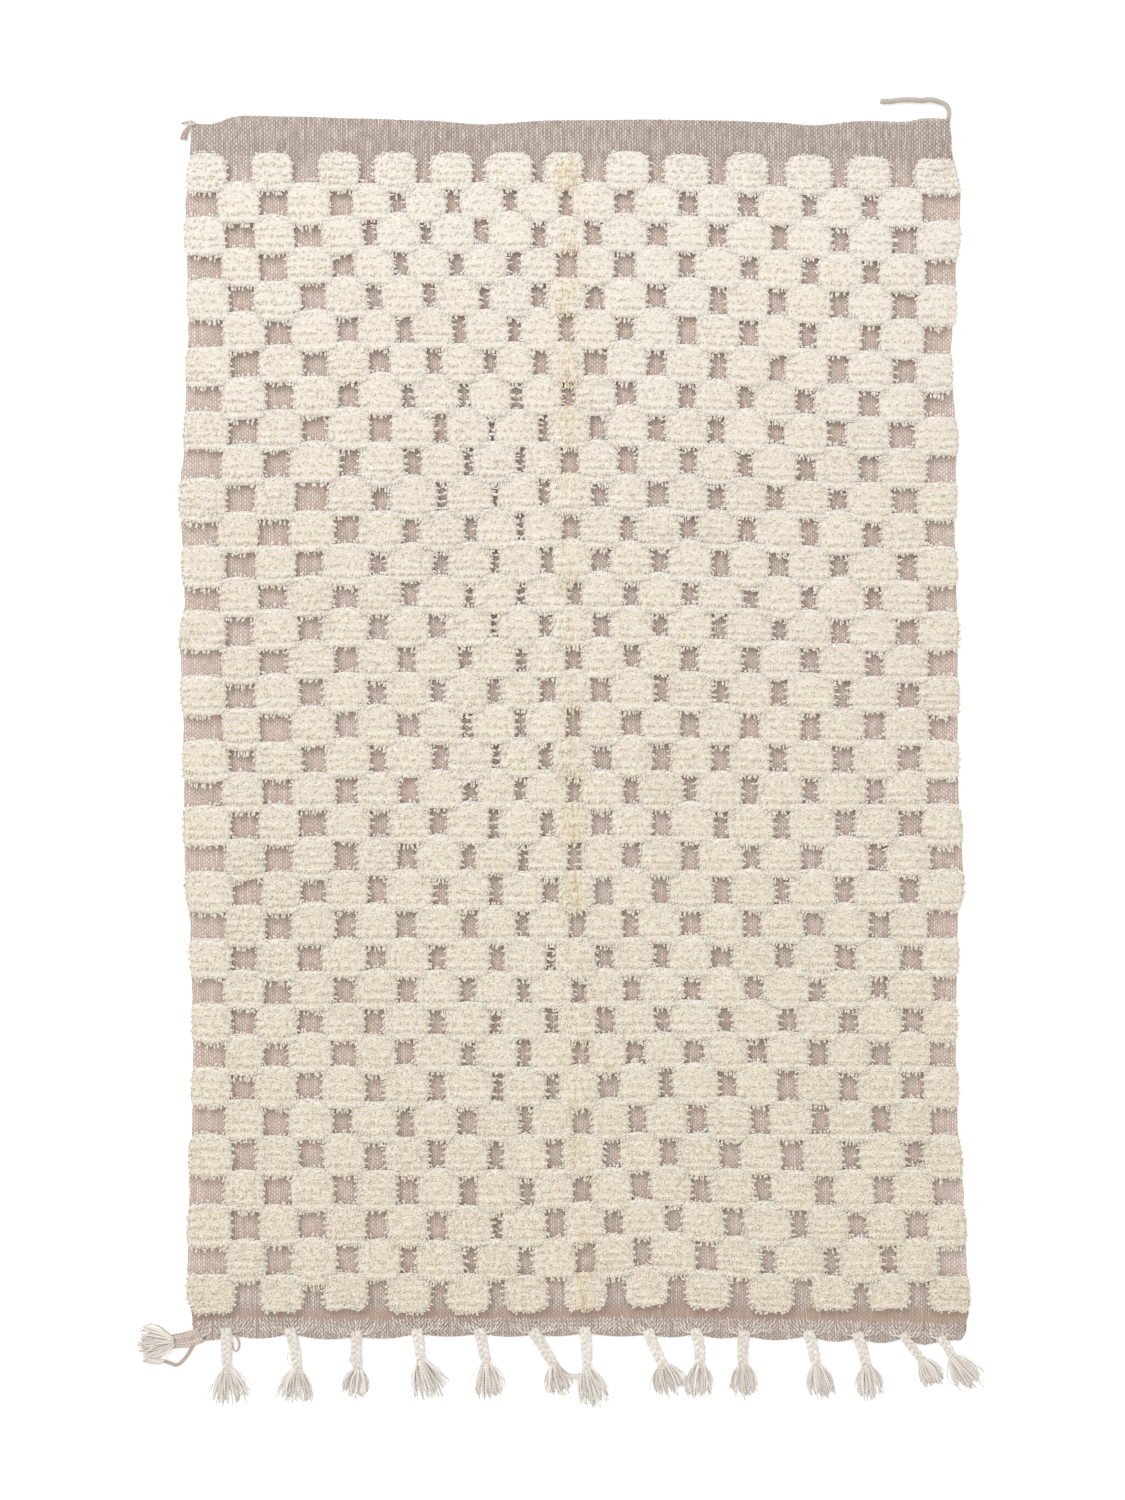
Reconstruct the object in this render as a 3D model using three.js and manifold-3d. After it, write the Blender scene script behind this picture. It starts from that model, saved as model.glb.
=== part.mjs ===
// A hand-knotted wool rug: a flat-woven ground, blocks of cut pile set out as a checker, a plain band at
// each end, and the warp ends braided along one of them. It lies flat on the floor, pile upwards.
// Millimetres. X runs across the rug, Y along it from the fringed hem to the plain head, and Z is up.

import * as THREE from 'three';
import { mergeVertices } from 'three/addons/utils/BufferGeometryUtils.js';
import Module from 'manifold-3d';

const wasm = await Module();
wasm.setup();

// Heights above the floor
const CLOTH = 4.5; // thickness of the woven ground
const SHOULDER = 15.5; // a block of pile at its corners
const CROWN = 21; // a block of pile at its middle
const VALLEY = 11; // the pile where two blocks meet corner to corner

// The checker
const ROWS = 35; // row 0 lies at the head
const COLUMNS = 25;
const PILE_INSET = 4.5; // how far a block's corners stand inside its cell
const LEAN = 3; // how far the pile leans towards the hem
const FLOOR_INSET_HEAD = 9; // a bare window starts this far below the block above it
const FLOOR_INSET_HEM = 4;
const FLOOR_INSET_SIDE = 4; // and this far in from its sides, more in the crowded columns
const CROWDING = { column: 9.5, reach: 3.2, extra: 5.5 };
const UNEVEN = 1.8; // how far the corners stray by hand
const SELVEDGE_MARGIN = 8; // from the selvedge to the outer columns
const FIRST_LINE = 2464; // where the pile starts, along Y
const LAST_LINE = 48; // and where it ends
const FOOT = 7; // from those lines to flat cloth

// The old fold, which lifts the cloth along the middle column
const RIDGE = { height: 4, reach: 38, fade: 900, middle: 1300, share: 0.55 };

// The hem and its fringe
const SEAM = 22; // where the cloth ends and the strip of warp ends starts
const GAP = 0.3; // between pieces that touch
const STRIP = 4; // thickness of that strip
const SCALLOP = 9; // how far its edge bulges between two braids
const BRAID = { width: 27, height: 11, lobe: 0.13, steps: 6, neck: 0.82 };
const STRAND = { count: 7, width: 4.2, height: 3.8, root: 0.6, tip: 0.5, rootSpread: 18 };

// The knot of yarn against the head's left corner
const TUFT = { x: -804, y: 2509, across: 10, along: 17, height: 12, seat: 0.2 };

// The cord at the head's right corner
const CORD_RADIUS = 6.2;
const CORD_SIDES = 8;
const CORD_STEPS = 16;

// Middle lines of the rows of cells, along Y
const ROW_LINES = [
  { row: 0, along: 2423 },
  { row: 4, along: 2163 },
  { row: 8, along: 1891 },
  { row: 12, along: 1610 },
  { row: 16, along: 1342 },
  { row: 20, along: 1070 },
  { row: 24, along: 790 },
  { row: 28, along: 526 },
  { row: 32, along: 233 },
  { row: 34, along: 87 },
];

// Middle lines of the columns of cells, across X, at three places along the rug
const COLUMN_LINES = [
  { column: 0, head: -771, middle: -773, hem: -754 },
  { column: 4, head: -484, middle: -474, hem: -478 },
  { column: 8, head: -247, middle: -214, hem: -218 },
  { column: 12, head: -8, middle: -2, hem: 19 },
  { column: 16, head: 237, middle: 243, hem: 260 },
  { column: 20, head: 490, middle: 490, hem: 515 },
  { column: 23, head: 677, middle: 694, hem: 702 },
  { column: 24, head: 771, middle: 771, hem: 781 },
];
const COLUMN_PLACES = { head: 2300, middle: 1206, hem: 300 };

// The selvedges, where they swing in or out
const LEFT_EDGE = [
  { along: 2535, across: -790 },
  { along: 2481, across: -796 },
  { along: 2344, across: -806 },
  { along: 2115, across: -800 },
  { along: 1866, across: -808 },
  { along: 1762, across: -817 },
  { along: 1534, across: -808 },
  { along: 1450, across: -817 },
  { along: 1263, across: -810 },
  { along: 993, across: -808 },
  { along: 848, across: -796 },
  { along: 619, across: -790 },
  { along: 453, across: -792 },
  { along: 349, across: -798 },
  { along: 116, across: -802 },
  { along: 21, across: -791 },
];
const RIGHT_EDGE = [
  { along: 2535, across: 788 },
  { along: 2481, across: 792 },
  { along: 2365, across: 810 },
  { along: 2199, across: 800 },
  { along: 2032, across: 790 },
  { along: 1866, across: 802 },
  { along: 1679, across: 798 },
  { along: 1450, across: 804 },
  { along: 1201, across: 804 },
  { along: 952, across: 815 },
  { along: 858, across: 804 },
  { along: 619, across: 800 },
  { along: 453, across: 804 },
  { along: 287, across: 817 },
  { along: 58, across: 827 },
  { along: 21, across: 821 },
];
const HEAD_EDGE = [
  { across: -794, along: 2523 },
  { across: -754, along: 2521 },
  { across: -690, along: 2539 },
  { across: -565, along: 2537 },
  { across: -436, along: 2533 },
  { across: -303, along: 2529 },
  { across: -187, along: 2521 },
  { across: -37, along: 2529 },
  { across: 162, along: 2531 },
  { across: 308, along: 2529 },
  { across: 422, along: 2525 },
  { across: 499, along: 2519 },
  { across: 605, along: 2528 },
  { across: 690, along: 2526 },
  { across: 740, along: 2534 },
  { across: 790, along: 2531 },
];

// The braids from left to right: where each leaves the hem, where it frays, where its strands end, and how
// wide they spread there
const BRAIDS = [
  { rootX: -774, rootY: 2, frayX: -835, frayY: -7, tipX: -896, tipY: -13, spread: 62 },
  { rootX: -717, rootY: 10, frayX: -715, frayY: -69, tipX: -702, tipY: -131, spread: 56 },
  { rootX: -584, rootY: 10, frayX: -569, frayY: -69, tipX: -574, tipY: -129, spread: 60 },
  { rootX: -447, rootY: 4, frayX: -443, frayY: -71, tipX: -451, tipY: -119, spread: 38 },
  { rootX: -322, rootY: 10, frayX: -314, frayY: -52, tipX: -285, tipY: -121, spread: 52 },
  { rootX: -191, rootY: 10, frayX: -175, frayY: -58, tipX: -172, tipY: -121, spread: 50 },
  { rootX: -77, rootY: 8, frayX: -44, frayY: -58, tipX: -32, tipY: -106, spread: 42 },
  { rootX: 27, rootY: 12, frayX: 31, frayY: -67, tipX: 52, tipY: -135, spread: 48 },
  { rootX: 160, rootY: 8, frayX: 193, frayY: -58, tipX: 208, tipY: -112, spread: 48 },
  { rootX: 258, rootY: 10, frayX: 266, frayY: -58, tipX: 262, tipY: -121, spread: 40 },
  { rootX: 357, rootY: 6, frayX: 355, frayY: -62, tipX: 361, tipY: -116, spread: 38 },
  { rootX: 492, rootY: 6, frayX: 509, frayY: -62, tipX: 524, tipY: -120, spread: 40 },
  { rootX: 594, rootY: 2, frayX: 613, frayY: -62, tipX: 622, tipY: -123, spread: 40 },
  { rootX: 690, rootY: 2, frayX: 733, frayY: -50, tipX: 756, tipY: -94, spread: 36 },
  { rootX: 767, rootY: -4, frayX: 793, frayY: -46, tipX: 836, tipY: -98, spread: 42 },
];

// Route of the loose cord's middle line, at its own radius above the floor
const CORD_ROUTE = [
  [781, 2533],
  [782, 2538],
  [783, 2544],
  [782.5, 2550],
  [780, 2556],
  [775, 2561.5],
  [768.5, 2565.5],
  [761, 2568.5],
  [750, 2571],
  [738, 2571.5],
  [724, 2570.5],
  [708, 2571],
  [693, 2572],
  [675, 2570],
  [657, 2568.5],
  [640, 2568],
];

const woolMaterial = new THREE.MeshStandardMaterial({ color: 0xeae3d5, roughness: 0.95, metalness: 0 });
const warpMaterial = new THREE.MeshStandardMaterial({ color: 0xe3ddd3, roughness: 0.9, metalness: 0 });
const tuftMaterial = new THREE.MeshStandardMaterial({ color: 0xbfb2a4, roughness: 0.95, metalness: 0 });

// A value between a table's rows. Eased, each row is a place where the line turns.
function readTable(table, key, column, at, eased) {
  const rising = table[0][key] < table[table.length - 1][key];
  const last = table.length - 2;
  let index = 0;
  while (index < last && (rising ? at > table[index + 1][key] : at < table[index + 1][key])) {
    index += 1;
  }
  const from = table[index];
  const to = table[index + 1];
  const plain = (at - from[key]) / (to[key] - from[key]);
  const held = Math.min(1, Math.max(0, plain));
  const share = eased ? held * held * (3 - 2 * held) : plain;
  return from[column] + (to[column] - from[column]) * share;
}

function bell(distance, reach) {
  return Math.exp(-((distance / reach) ** 2));
}

// An uneven number from -1 to 1 that belongs to one cell
function stray(row, column, kind) {
  return Math.sin(12.9898 * row + 78.233 * column + 37.719 * kind);
}

const leftEdge = (along) => readTable(LEFT_EDGE, 'along', 'across', along, true);
const rightEdge = (along) => readTable(RIGHT_EDGE, 'along', 'across', along, true);
const headEdge = (across) => readTable(HEAD_EDGE, 'across', 'along', across, true);
const rowMiddle = (row) => readTable(ROW_LINES, 'row', 'along', row, false);

function columnMiddle(column, along) {
  const at = (place) => readTable(COLUMN_LINES, 'column', place, column, false);
  const upper = along > COLUMN_PLACES.middle;
  const outer = upper ? 'head' : 'hem';
  const share = (along - COLUMN_PLACES.middle) / (COLUMN_PLACES[outer] - COLUMN_PLACES.middle);
  return at('middle') + (at(outer) - at('middle')) * share;
}

const foldLine = (along) => columnMiddle(12, along);

// How the rows sag and rise across the rug
function rowSag(across, along) {
  const right = THREE.MathUtils.smoothstep(across, 60, 700);
  const left = THREE.MathUtils.smoothstep(-across, 350, 780);
  const rightSag = -22 * right * bell(along - 2060, 420) - 7 * right * bell(along - 1400, 300);
  const leftSag = -10 * left * bell(along - 1700, 800);
  const rise = 16 * bell(across - 190, 150) * bell(along - 140, 220);
  return rightSag + leftSag + rise;
}

function foldLift(across, along) {
  const height = RIDGE.height * (0.35 + 0.65 * bell(along - RIDGE.middle, RIDGE.fade));
  return height * bell(across - foldLine(along), RIDGE.reach);
}

const isPile = (row, column) => (row + column) % 2 === 0;

// The line between two rows; row 0's head side and the last row's hem side are the ends of the pile
function rowLine(row, end) {
  if (row === 0 && end > 0) {
    return FIRST_LINE;
  }
  if (row === ROWS - 1 && end < 0) {
    return LAST_LINE;
  }
  return (rowMiddle(row) + rowMiddle(row - end)) / 2;
}

function columnLine(column, side, along) {
  if (column === 0 && side < 0) {
    return leftEdge(along) + SELVEDGE_MARGIN;
  }
  if (column === COLUMNS - 1 && side > 0) {
    return rightEdge(along) - SELVEDGE_MARGIN;
  }
  return (columnMiddle(column, along) + columnMiddle(column + side, along)) / 2;
}

// One corner of a cell: side is -1 on its left and +1 on its right, end +1 at its head and -1 at its hem
function cellCorner(row, column, side, end) {
  const line = rowLine(row, end);
  const across = columnLine(column, side, line);
  const along = line + rowSag(across, line);
  const strayX = UNEVEN * stray(row, column, side + 2 * end);
  const strayY = UNEVEN * stray(row, column, 5 + side + 2 * end);
  if (isPile(row, column)) {
    const x = across - side * PILE_INSET + strayX;
    const y = along - end * PILE_INSET - LEAN + strayY;
    return new THREE.Vector3(x, y, SHOULDER + 0.6 * strayY + foldLift(x, y));
  }
  const crowding = CROWDING.extra * bell(column - CROWDING.column, CROWDING.reach);
  const x = across - side * (FLOOR_INSET_SIDE + crowding) + strayX;
  const y = along - (end > 0 ? FLOOR_INSET_HEAD : -FLOOR_INSET_HEM) + strayY;
  return new THREE.Vector3(x, y, CLOTH + foldLift(x, y));
}

// The face is a lattice of lines. Two lines bound each row of cells, and two more lie past it at each end:
// the cloth's own edge and the foot of the pile. Across, the two outer lines are the selvedges.
const ALONG_LINES = 2 * ROWS + 4;
const ACROSS_LINES = 2 * COLUMNS + 2;

function latticePoint(j, i) {
  const row = Math.min(ROWS - 1, Math.max(0, Math.floor((j - 2) / 2)));
  const column = Math.min(COLUMNS - 1, Math.max(0, Math.floor((i - 1) / 2)));
  const end = j < 2 || (j < ALONG_LINES - 2 && j % 2 === 0) ? 1 : -1;
  const side = i % 2 === 1 && i < ACROSS_LINES - 1 ? -1 : 1;
  const point = cellCorner(row, column, i === 0 ? -1 : side, end);
  if (j === 1) {
    point.y = FIRST_LINE + FOOT;
  }
  if (j === ALONG_LINES - 2) {
    point.y = LAST_LINE - FOOT - LEAN;
  }
  if (j === 0) {
    point.y = headEdge(point.x);
  }
  if (j === ALONG_LINES - 1) {
    point.y = SEAM;
  }
  if (i === 0) {
    point.x = leftEdge(point.y);
  }
  if (i === ACROSS_LINES - 1) {
    point.x = rightEdge(point.y);
  }
  const onBorder = j < 2 || j >= ALONG_LINES - 2 || i === 0 || i === ACROSS_LINES - 1;
  if (onBorder) {
    point.z = CLOTH + foldLift(point.x, point.y);
  }
  return point;
}

// Collects shared points and triangles for one closed body
class Shell {
  constructor() {
    this.points = [];
    this.faces = [];
  }

  add(x, y, z) {
    this.points.push(x, y, z);
    return this.points.length / 3 - 1;
  }

  addPoint(point) {
    return this.add(point.x, point.y, point.z);
  }

  triangle(a, b, c) {
    this.faces.push(a, b, c);
  }

  quad(a, b, c, d) {
    this.triangle(a, b, c);
    this.triangle(a, c, d);
  }

  fan(ring, middle) {
    ring.forEach((from, n) => this.triangle(from, ring[(n + 1) % ring.length], middle));
  }

  geometry() {
    const geometry = new THREE.BufferGeometry();
    geometry.setAttribute('position', new THREE.Float32BufferAttribute(this.points, 3));
    geometry.setIndex(this.faces);
    geometry.computeVertexNormals();
    return geometry;
  }
}

function rugGeometry() {
  const shell = new Shell();
  const top = [];
  for (let j = 0; j < ALONG_LINES; j += 1) {
    top.push([]);
    for (let i = 0; i < ACROSS_LINES; i += 1) {
      top[j].push(shell.addPoint(latticePoint(j, i)));
    }
  }
  const place = (index) => new THREE.Vector3().fromArray(shell.points, 3 * index);

  // The face, with a crown on each block and a crease where two blocks meet at a corner
  for (let j = 0; j < ALONG_LINES - 1; j += 1) {
    for (let i = 0; i < ACROSS_LINES - 1; i += 1) {
      const ring = [top[j][i], top[j + 1][i], top[j + 1][i + 1], top[j][i + 1]];
      const inRow = j >= 2 && j < ALONG_LINES - 2 && j % 2 === 0;
      const inColumn = i >= 1 && i < ACROSS_LINES - 1 && i % 2 === 1;
      const row = (j - 2) / 2;
      const column = (i - 1) / 2;
      const betweenRows = j > 2 && j < ALONG_LINES - 3 && j % 2 === 1;
      const betweenColumns = i > 1 && i < ACROSS_LINES - 2 && i % 2 === 0;
      const middle = new THREE.Vector3();
      ring.forEach((index) => middle.add(place(index)));
      middle.divideScalar(4);
      if (inRow && inColumn && isPile(row, column)) {
        middle.z = CROWN + 0.8 * stray(row, column, 9) + foldLift(middle.x, middle.y);
        shell.fan(ring, shell.addPoint(middle));
      } else if (betweenRows && betweenColumns) {
        middle.z = VALLEY + foldLift(middle.x, middle.y);
        shell.fan(ring, shell.addPoint(middle));
      } else {
        shell.quad(...ring);
      }
    }
  }

  // The underside is flat, but for the fold, which lifts the lines on both sides of the middle column
  const foldColumn = 12;
  const lifted = [2 * foldColumn + 1, 2 * foldColumn + 2];
  const hinges = [2 * foldColumn - 1, 2 * foldColumn + 4];
  const last = { j: ALONG_LINES - 1, i: ACROSS_LINES - 1 };
  const bottom = new Map();
  const under = (j, i) => {
    const key = j * ACROSS_LINES + i;
    if (!bottom.has(key)) {
      const above = place(top[j][i]);
      const lift = lifted.includes(i) ? RIDGE.share * foldLift(foldLine(above.y), above.y) : 0;
      bottom.set(key, shell.add(above.x, above.y, lift));
    }
    return bottom.get(key);
  };
  const steps = [];
  for (let j = 0; j < last.j; j += 6) {
    steps.push(j);
  }
  steps.push(last.j);

  // A flat panel of the underside, from one line across to another
  const panel = (fromI, toI) => {
    const alongLines = (i) => {
      const onSelvedge = i === 0 || i === last.i;
      const every = Array.from({ length: ALONG_LINES }, (_, j) => j);
      return onSelvedge ? every : steps;
    };
    const outline = [];
    for (let i = fromI; i < toI; i += 1) {
      outline.push(under(0, i));
    }
    alongLines(toI).slice(0, -1).forEach((j) => outline.push(under(j, toI)));
    for (let i = toI; i > fromI; i -= 1) {
      outline.push(under(last.j, i));
    }
    alongLines(fromI).slice(1).reverse().forEach((j) => outline.push(under(j, fromI)));
    const flat = outline.map((index) => {
      const point = place(index);
      return new THREE.Vector2(point.x, point.y);
    });
    THREE.ShapeUtils.triangulateShape(flat, []).forEach(([a, b, c]) => {
      const turn = flat[b].clone().sub(flat[a]).cross(flat[c].clone().sub(flat[a]));
      const corners = [outline[a], outline[b], outline[c]];
      if (turn > 0) {
        corners.reverse();
      }
      shell.triangle(...corners);
    });
  };
  const seams = [0, hinges[0], ...lifted, hinges[1], last.i];
  for (let n = 0; n < seams.length - 1; n += 1) {
    panel(seams[n], seams[n + 1]);
  }

  // The cut edge all round
  for (let i = 0; i < last.i; i += 1) {
    shell.quad(top[0][i], top[0][i + 1], under(0, i + 1), under(0, i));
    shell.quad(top[last.j][i + 1], top[last.j][i], under(last.j, i), under(last.j, i + 1));
  }
  for (let j = 0; j < last.j; j += 1) {
    shell.quad(top[j + 1][0], top[j][0], under(j, 0), under(j + 1, 0));
    shell.quad(top[j][last.i], top[j + 1][last.i], under(j + 1, last.i), under(j, last.i));
  }
  return shell.geometry();
}

// A closed body skinned over rings of points, each ring counter-clockwise about the way it runs
function skinned(rings) {
  const shell = new Shell();
  const indices = rings.map((ring) => ring.map((point) => shell.addPoint(point)));
  for (let n = 0; n < indices.length - 1; n += 1) {
    indices[n].forEach((from, s) => {
      const next = (s + 1) % indices[n].length;
      shell.quad(from, indices[n][next], indices[n + 1][next], indices[n + 1][s]);
    });
  }
  const start = indices[0];
  const finish = indices[indices.length - 1];
  for (let s = 1; s < start.length - 1; s += 1) {
    shell.triangle(start[0], start[s + 1], start[s]);
    shell.triangle(finish[0], finish[s], finish[s + 1]);
  }
  return shell.geometry();
}

// A flat-bottomed section across a run: its points as shares of the width to the left, and heights
function section(middle, heading, points) {
  const left = new THREE.Vector3(-heading.y, heading.x, 0).normalize();
  return points.map(([share, height]) => middle.clone().addScaledVector(left, share).setZ(height + middle.z));
}

function solidOf(geometry) {
  const bare = geometry.clone();
  bare.deleteAttribute('normal');
  bare.deleteAttribute('uv');
  const merged = mergeVertices(bare, 1e-4);
  const vertProperties = new Float32Array(merged.attributes.position.array);
  const triVerts = new Uint32Array(merged.index.array);
  return new wasm.Manifold(new wasm.Mesh({ numProp: 3, vertProperties, triVerts }));
}

function joined(geometries) {
  const [first, ...others] = geometries.map(solidOf);
  const solid = others.reduce((sum, other) => sum.add(other), first);
  const mesh = solid.getMesh();
  const geometry = new THREE.BufferGeometry();
  geometry.setAttribute('position', new THREE.Float32BufferAttribute(mesh.vertProperties, 3));
  geometry.setIndex(Array.from(mesh.triVerts));
  geometry.computeVertexNormals();
  return geometry;
}

// The plaited part, with its lobes on one side and then on the other
function braidGeometry(braid) {
  const root = new THREE.Vector3(braid.rootX, braid.rootY, 0);
  const fray = new THREE.Vector3(braid.frayX, braid.frayY, 0);
  const heading = fray.clone().sub(root).normalize();
  const start = root.clone().addScaledVector(heading, -7);
  const rings = [section(start.setZ(0.6), heading, [[11, 0], [9, 2.6], [-9, 2.6], [-11, 0]])];
  for (let n = 0; n <= BRAID.steps; n += 1) {
    const share = n / BRAID.steps;
    const narrow = 1 - (1 - BRAID.neck) * share;
    const half = (BRAID.width / 2) * narrow;
    const lobe = BRAID.lobe * (n % 2 === 0 ? 1 : -1);
    const middle = root.clone().lerp(fray, 0.1 + 0.9 * share);
    const height = BRAID.height * (n === 0 ? 0.75 : 1) * narrow;
    const left = half * (1 + lobe);
    const right = half * (1 - lobe);
    rings.push(section(middle, heading, [[left, 0], [0.55 * left, height], [-0.55 * right, height], [-right, 0]]));
  }
  return skinned(rings);
}

// The loose strands of one braid, spread as a fan and lying level on the floor
function strandGeometries(braid) {
  const root = new THREE.Vector3(braid.rootX, braid.rootY, 0);
  const fray = new THREE.Vector3(braid.frayX, braid.frayY, 0);
  const tip = new THREE.Vector3(braid.tipX, braid.tipY, 0);
  const inward = root.clone().sub(fray).normalize();
  const run = tip.clone().sub(fray);
  const across = new THREE.Vector3(-run.y, run.x, 0).normalize();
  return Array.from({ length: STRAND.count }, (_, n) => {
    const place = n / (STRAND.count - 1) - 0.5;
    const reach = 1 - 0.5 * place * place + 0.06 * stray(n, braid.rootX, 1);
    const start = fray.clone().addScaledVector(inward, 9).addScaledVector(across, place * STRAND.rootSpread);
    const end = fray.clone().addScaledVector(run, reach).addScaledVector(across, place * braid.spread);
    const heading = end.clone().sub(start).normalize();
    const ring = (share, size, lift) => {
      const half = 0.5 * STRAND.width * size;
      const middle = start.clone().lerp(end, share).setZ(lift);
      return section(middle, heading, [[half, 0], [0, STRAND.height * size], [-half, 0]]);
    };
    return skinned([ring(0, STRAND.root, 1.5), ring(0.3, 1, 0), ring(0.7, 1, 0), ring(1, STRAND.tip, 0)]);
  });
}

// The narrow strip that the braids grow from, with its scalloped edge
function stripGeometry() {
  const back = SEAM - GAP;
  const shape = new THREE.Shape();
  shape.moveTo(leftEdge(back), back);
  shape.lineTo(leftEdge(back) + 13, BRAIDS[0].rootY - 6);
  const perScallop = 5;
  for (let n = 0; n < BRAIDS.length - 1; n += 1) {
    const from = BRAIDS[n];
    const to = BRAIDS[n + 1];
    for (let step = n === 0 ? 2 : 0; step < perScallop; step += 1) {
      const share = step / perScallop;
      const bulge = SCALLOP * Math.sin(Math.PI * share) * (1 + 0.4 * stray(n, 3, 2));
      const x = THREE.MathUtils.lerp(from.rootX, to.rootX, share);
      shape.lineTo(x, THREE.MathUtils.lerp(from.rootY, to.rootY, share) - bulge);
    }
  }
  const lastBraid = BRAIDS[BRAIDS.length - 1];
  shape.lineTo(lastBraid.rootX, lastBraid.rootY);
  shape.lineTo(rightEdge(back) - 17, lastBraid.rootY - 6);
  shape.lineTo(rightEdge(back) - 5, lastBraid.rootY + 6);
  shape.lineTo(rightEdge(back), back);
  return new THREE.ExtrudeGeometry(shape, { depth: STRIP, bevelEnabled: false });
}

function fringeGeometry() {
  const pieces = [stripGeometry()];
  BRAIDS.forEach((braid) => {
    pieces.push(braidGeometry(braid), ...strandGeometries(braid));
  });
  return joined(pieces);
}

// A knot of yarn, flat where it lies, with a few frayed ends
function tuftGeometry() {
  const middle = new THREE.Vector3(TUFT.x, TUFT.y, 0);
  const knot = new THREE.IcosahedronGeometry(1, 2);
  const places = knot.attributes.position;
  for (let n = 0; n < places.count; n += 1) {
    const point = new THREE.Vector3().fromBufferAttribute(places, n);
    const swell = 1 - 0.12 * (1 + Math.sin(7 * point.y + 3 * point.z)) * (point.x < 0.5 ? 1 : 0);
    const z = Math.max(0, TUFT.height * (0.45 + 0.55 * point.z * swell));
    places.setXYZ(n, middle.x + TUFT.across * point.x * swell, middle.y + TUFT.along * point.y * swell, z);
  }
  const ends = [
    { x: -20, y: 21 },
    { x: -16, y: 8 },
    { x: -15, y: -12 },
    { x: -11, y: -25 },
    { x: -3, y: -29 },
  ];
  const frayed = ends.map((end) => {
    const tip = middle.clone().add(new THREE.Vector3(end.x, end.y, 0));
    const heading = tip.clone().sub(middle).normalize();
    const ring = (share, half, lift) =>
      section(middle.clone().lerp(tip, share).setZ(lift), heading, [[half, 0], [0, 1.6 * half], [-half, 0]]);
    return skinned([ring(0.2, 2, 1.5), ring(0.6, 2.8, 0), ring(1, 1.2, 0)]);
  });
  const tuft = joined([knot, ...frayed]);
  tuft.computeBoundingBox();
  return tuft.translate(leftEdge(TUFT.y) + TUFT.seat - tuft.boundingBox.max.x, 0, 0);
}

// The loose tail of yarn, an eight-sided tube with one side down
function cordGeometry() {
  const route = CORD_ROUTE.map(([x, y]) => new THREE.Vector3(x, y, CORD_RADIUS));
  const curve = new THREE.CatmullRomCurve3(route, false, 'centripetal');
  const outline = new THREE.Shape();
  const corner = CORD_RADIUS / Math.cos(Math.PI / CORD_SIDES);
  for (let s = 0; s < CORD_SIDES; s += 1) {
    const angle = (2 * Math.PI * (s + 0.5)) / CORD_SIDES;
    const draw = s === 0 ? 'moveTo' : 'lineTo';
    outline[draw](corner * Math.cos(angle), corner * Math.sin(angle));
  }
  return new THREE.ExtrudeGeometry(outline, { steps: CORD_STEPS, bevelEnabled: false, extrudePath: curve });
}

function piece(name, geometry, material) {
  const mesh = new THREE.Mesh(geometry, material);
  mesh.name = name;
  return mesh;
}

const group = new THREE.Group();
group.add(piece('rug', rugGeometry(), woolMaterial));
group.add(piece('end_fringe', fringeGeometry(), warpMaterial));
group.add(piece('corner_tuft', tuftGeometry(), tuftMaterial));

// The origin is on the floor, under the middle of all but the loose cord
const box = new THREE.Box3().setFromObject(group);
const centre = box.getCenter(new THREE.Vector3());
group.position.set(-centre.x, -centre.y, -box.min.z);
group.add(piece('corner_cord', cordGeometry(), warpMaterial));

export default group;
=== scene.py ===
# %% [markdown]
# # A hand-knotted rug, one material at a time
#
# The real thing is a length of mauve cloth with cream wool knotted into it, block by block, as a checker.
# One end is plain, and at the other the warp ends are braided and left to fray. This lesson builds the same
# things in the same order: the cloth, the pile, the hem with its braids, then the loose yarn at the edges.

import bpy
import numpy as np
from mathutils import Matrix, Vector


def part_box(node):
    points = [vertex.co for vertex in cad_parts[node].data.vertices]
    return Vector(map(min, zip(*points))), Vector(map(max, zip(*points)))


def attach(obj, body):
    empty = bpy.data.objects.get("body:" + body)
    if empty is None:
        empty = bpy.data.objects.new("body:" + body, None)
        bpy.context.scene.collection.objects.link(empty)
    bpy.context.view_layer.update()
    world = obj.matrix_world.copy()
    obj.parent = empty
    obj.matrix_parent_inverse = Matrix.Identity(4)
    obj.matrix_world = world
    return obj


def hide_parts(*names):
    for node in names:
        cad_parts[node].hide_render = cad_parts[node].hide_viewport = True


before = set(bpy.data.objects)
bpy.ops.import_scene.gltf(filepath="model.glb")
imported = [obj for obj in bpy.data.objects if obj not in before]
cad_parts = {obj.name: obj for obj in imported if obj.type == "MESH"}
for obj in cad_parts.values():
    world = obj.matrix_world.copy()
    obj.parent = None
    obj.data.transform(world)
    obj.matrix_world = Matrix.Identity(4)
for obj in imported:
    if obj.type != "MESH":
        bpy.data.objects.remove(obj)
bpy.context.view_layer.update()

# %% [markdown]
# ## Where the weaver measures from
#
# Every size below is in millimetres, from the middle of the fringed hem: X across the rug and Y along it.
# The frame has its own origin, so one function moves points into it. It finds the shift from the rug's own
# box, whose low corner is the left selvedge's outermost point and the line where the cloth meets its fringe.

# %% From the weaver's millimetres to the frame's metres
MM = 0.001
TURN = 2 * np.pi
LEFTMOST = -817
SEAM = 22

rug_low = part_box("rug")[0]
frame_shift = np.array([rug_low.x / MM - LEFTMOST, rug_low.y / MM - SEAM, 0.0])


def to_frame(points):
    """Points in the weaver's millimetres, as an array of metres in the frame."""
    return (np.asarray(points, float) + frame_shift) * MM


print("shift in mm", np.round(frame_shift, 2))

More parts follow.
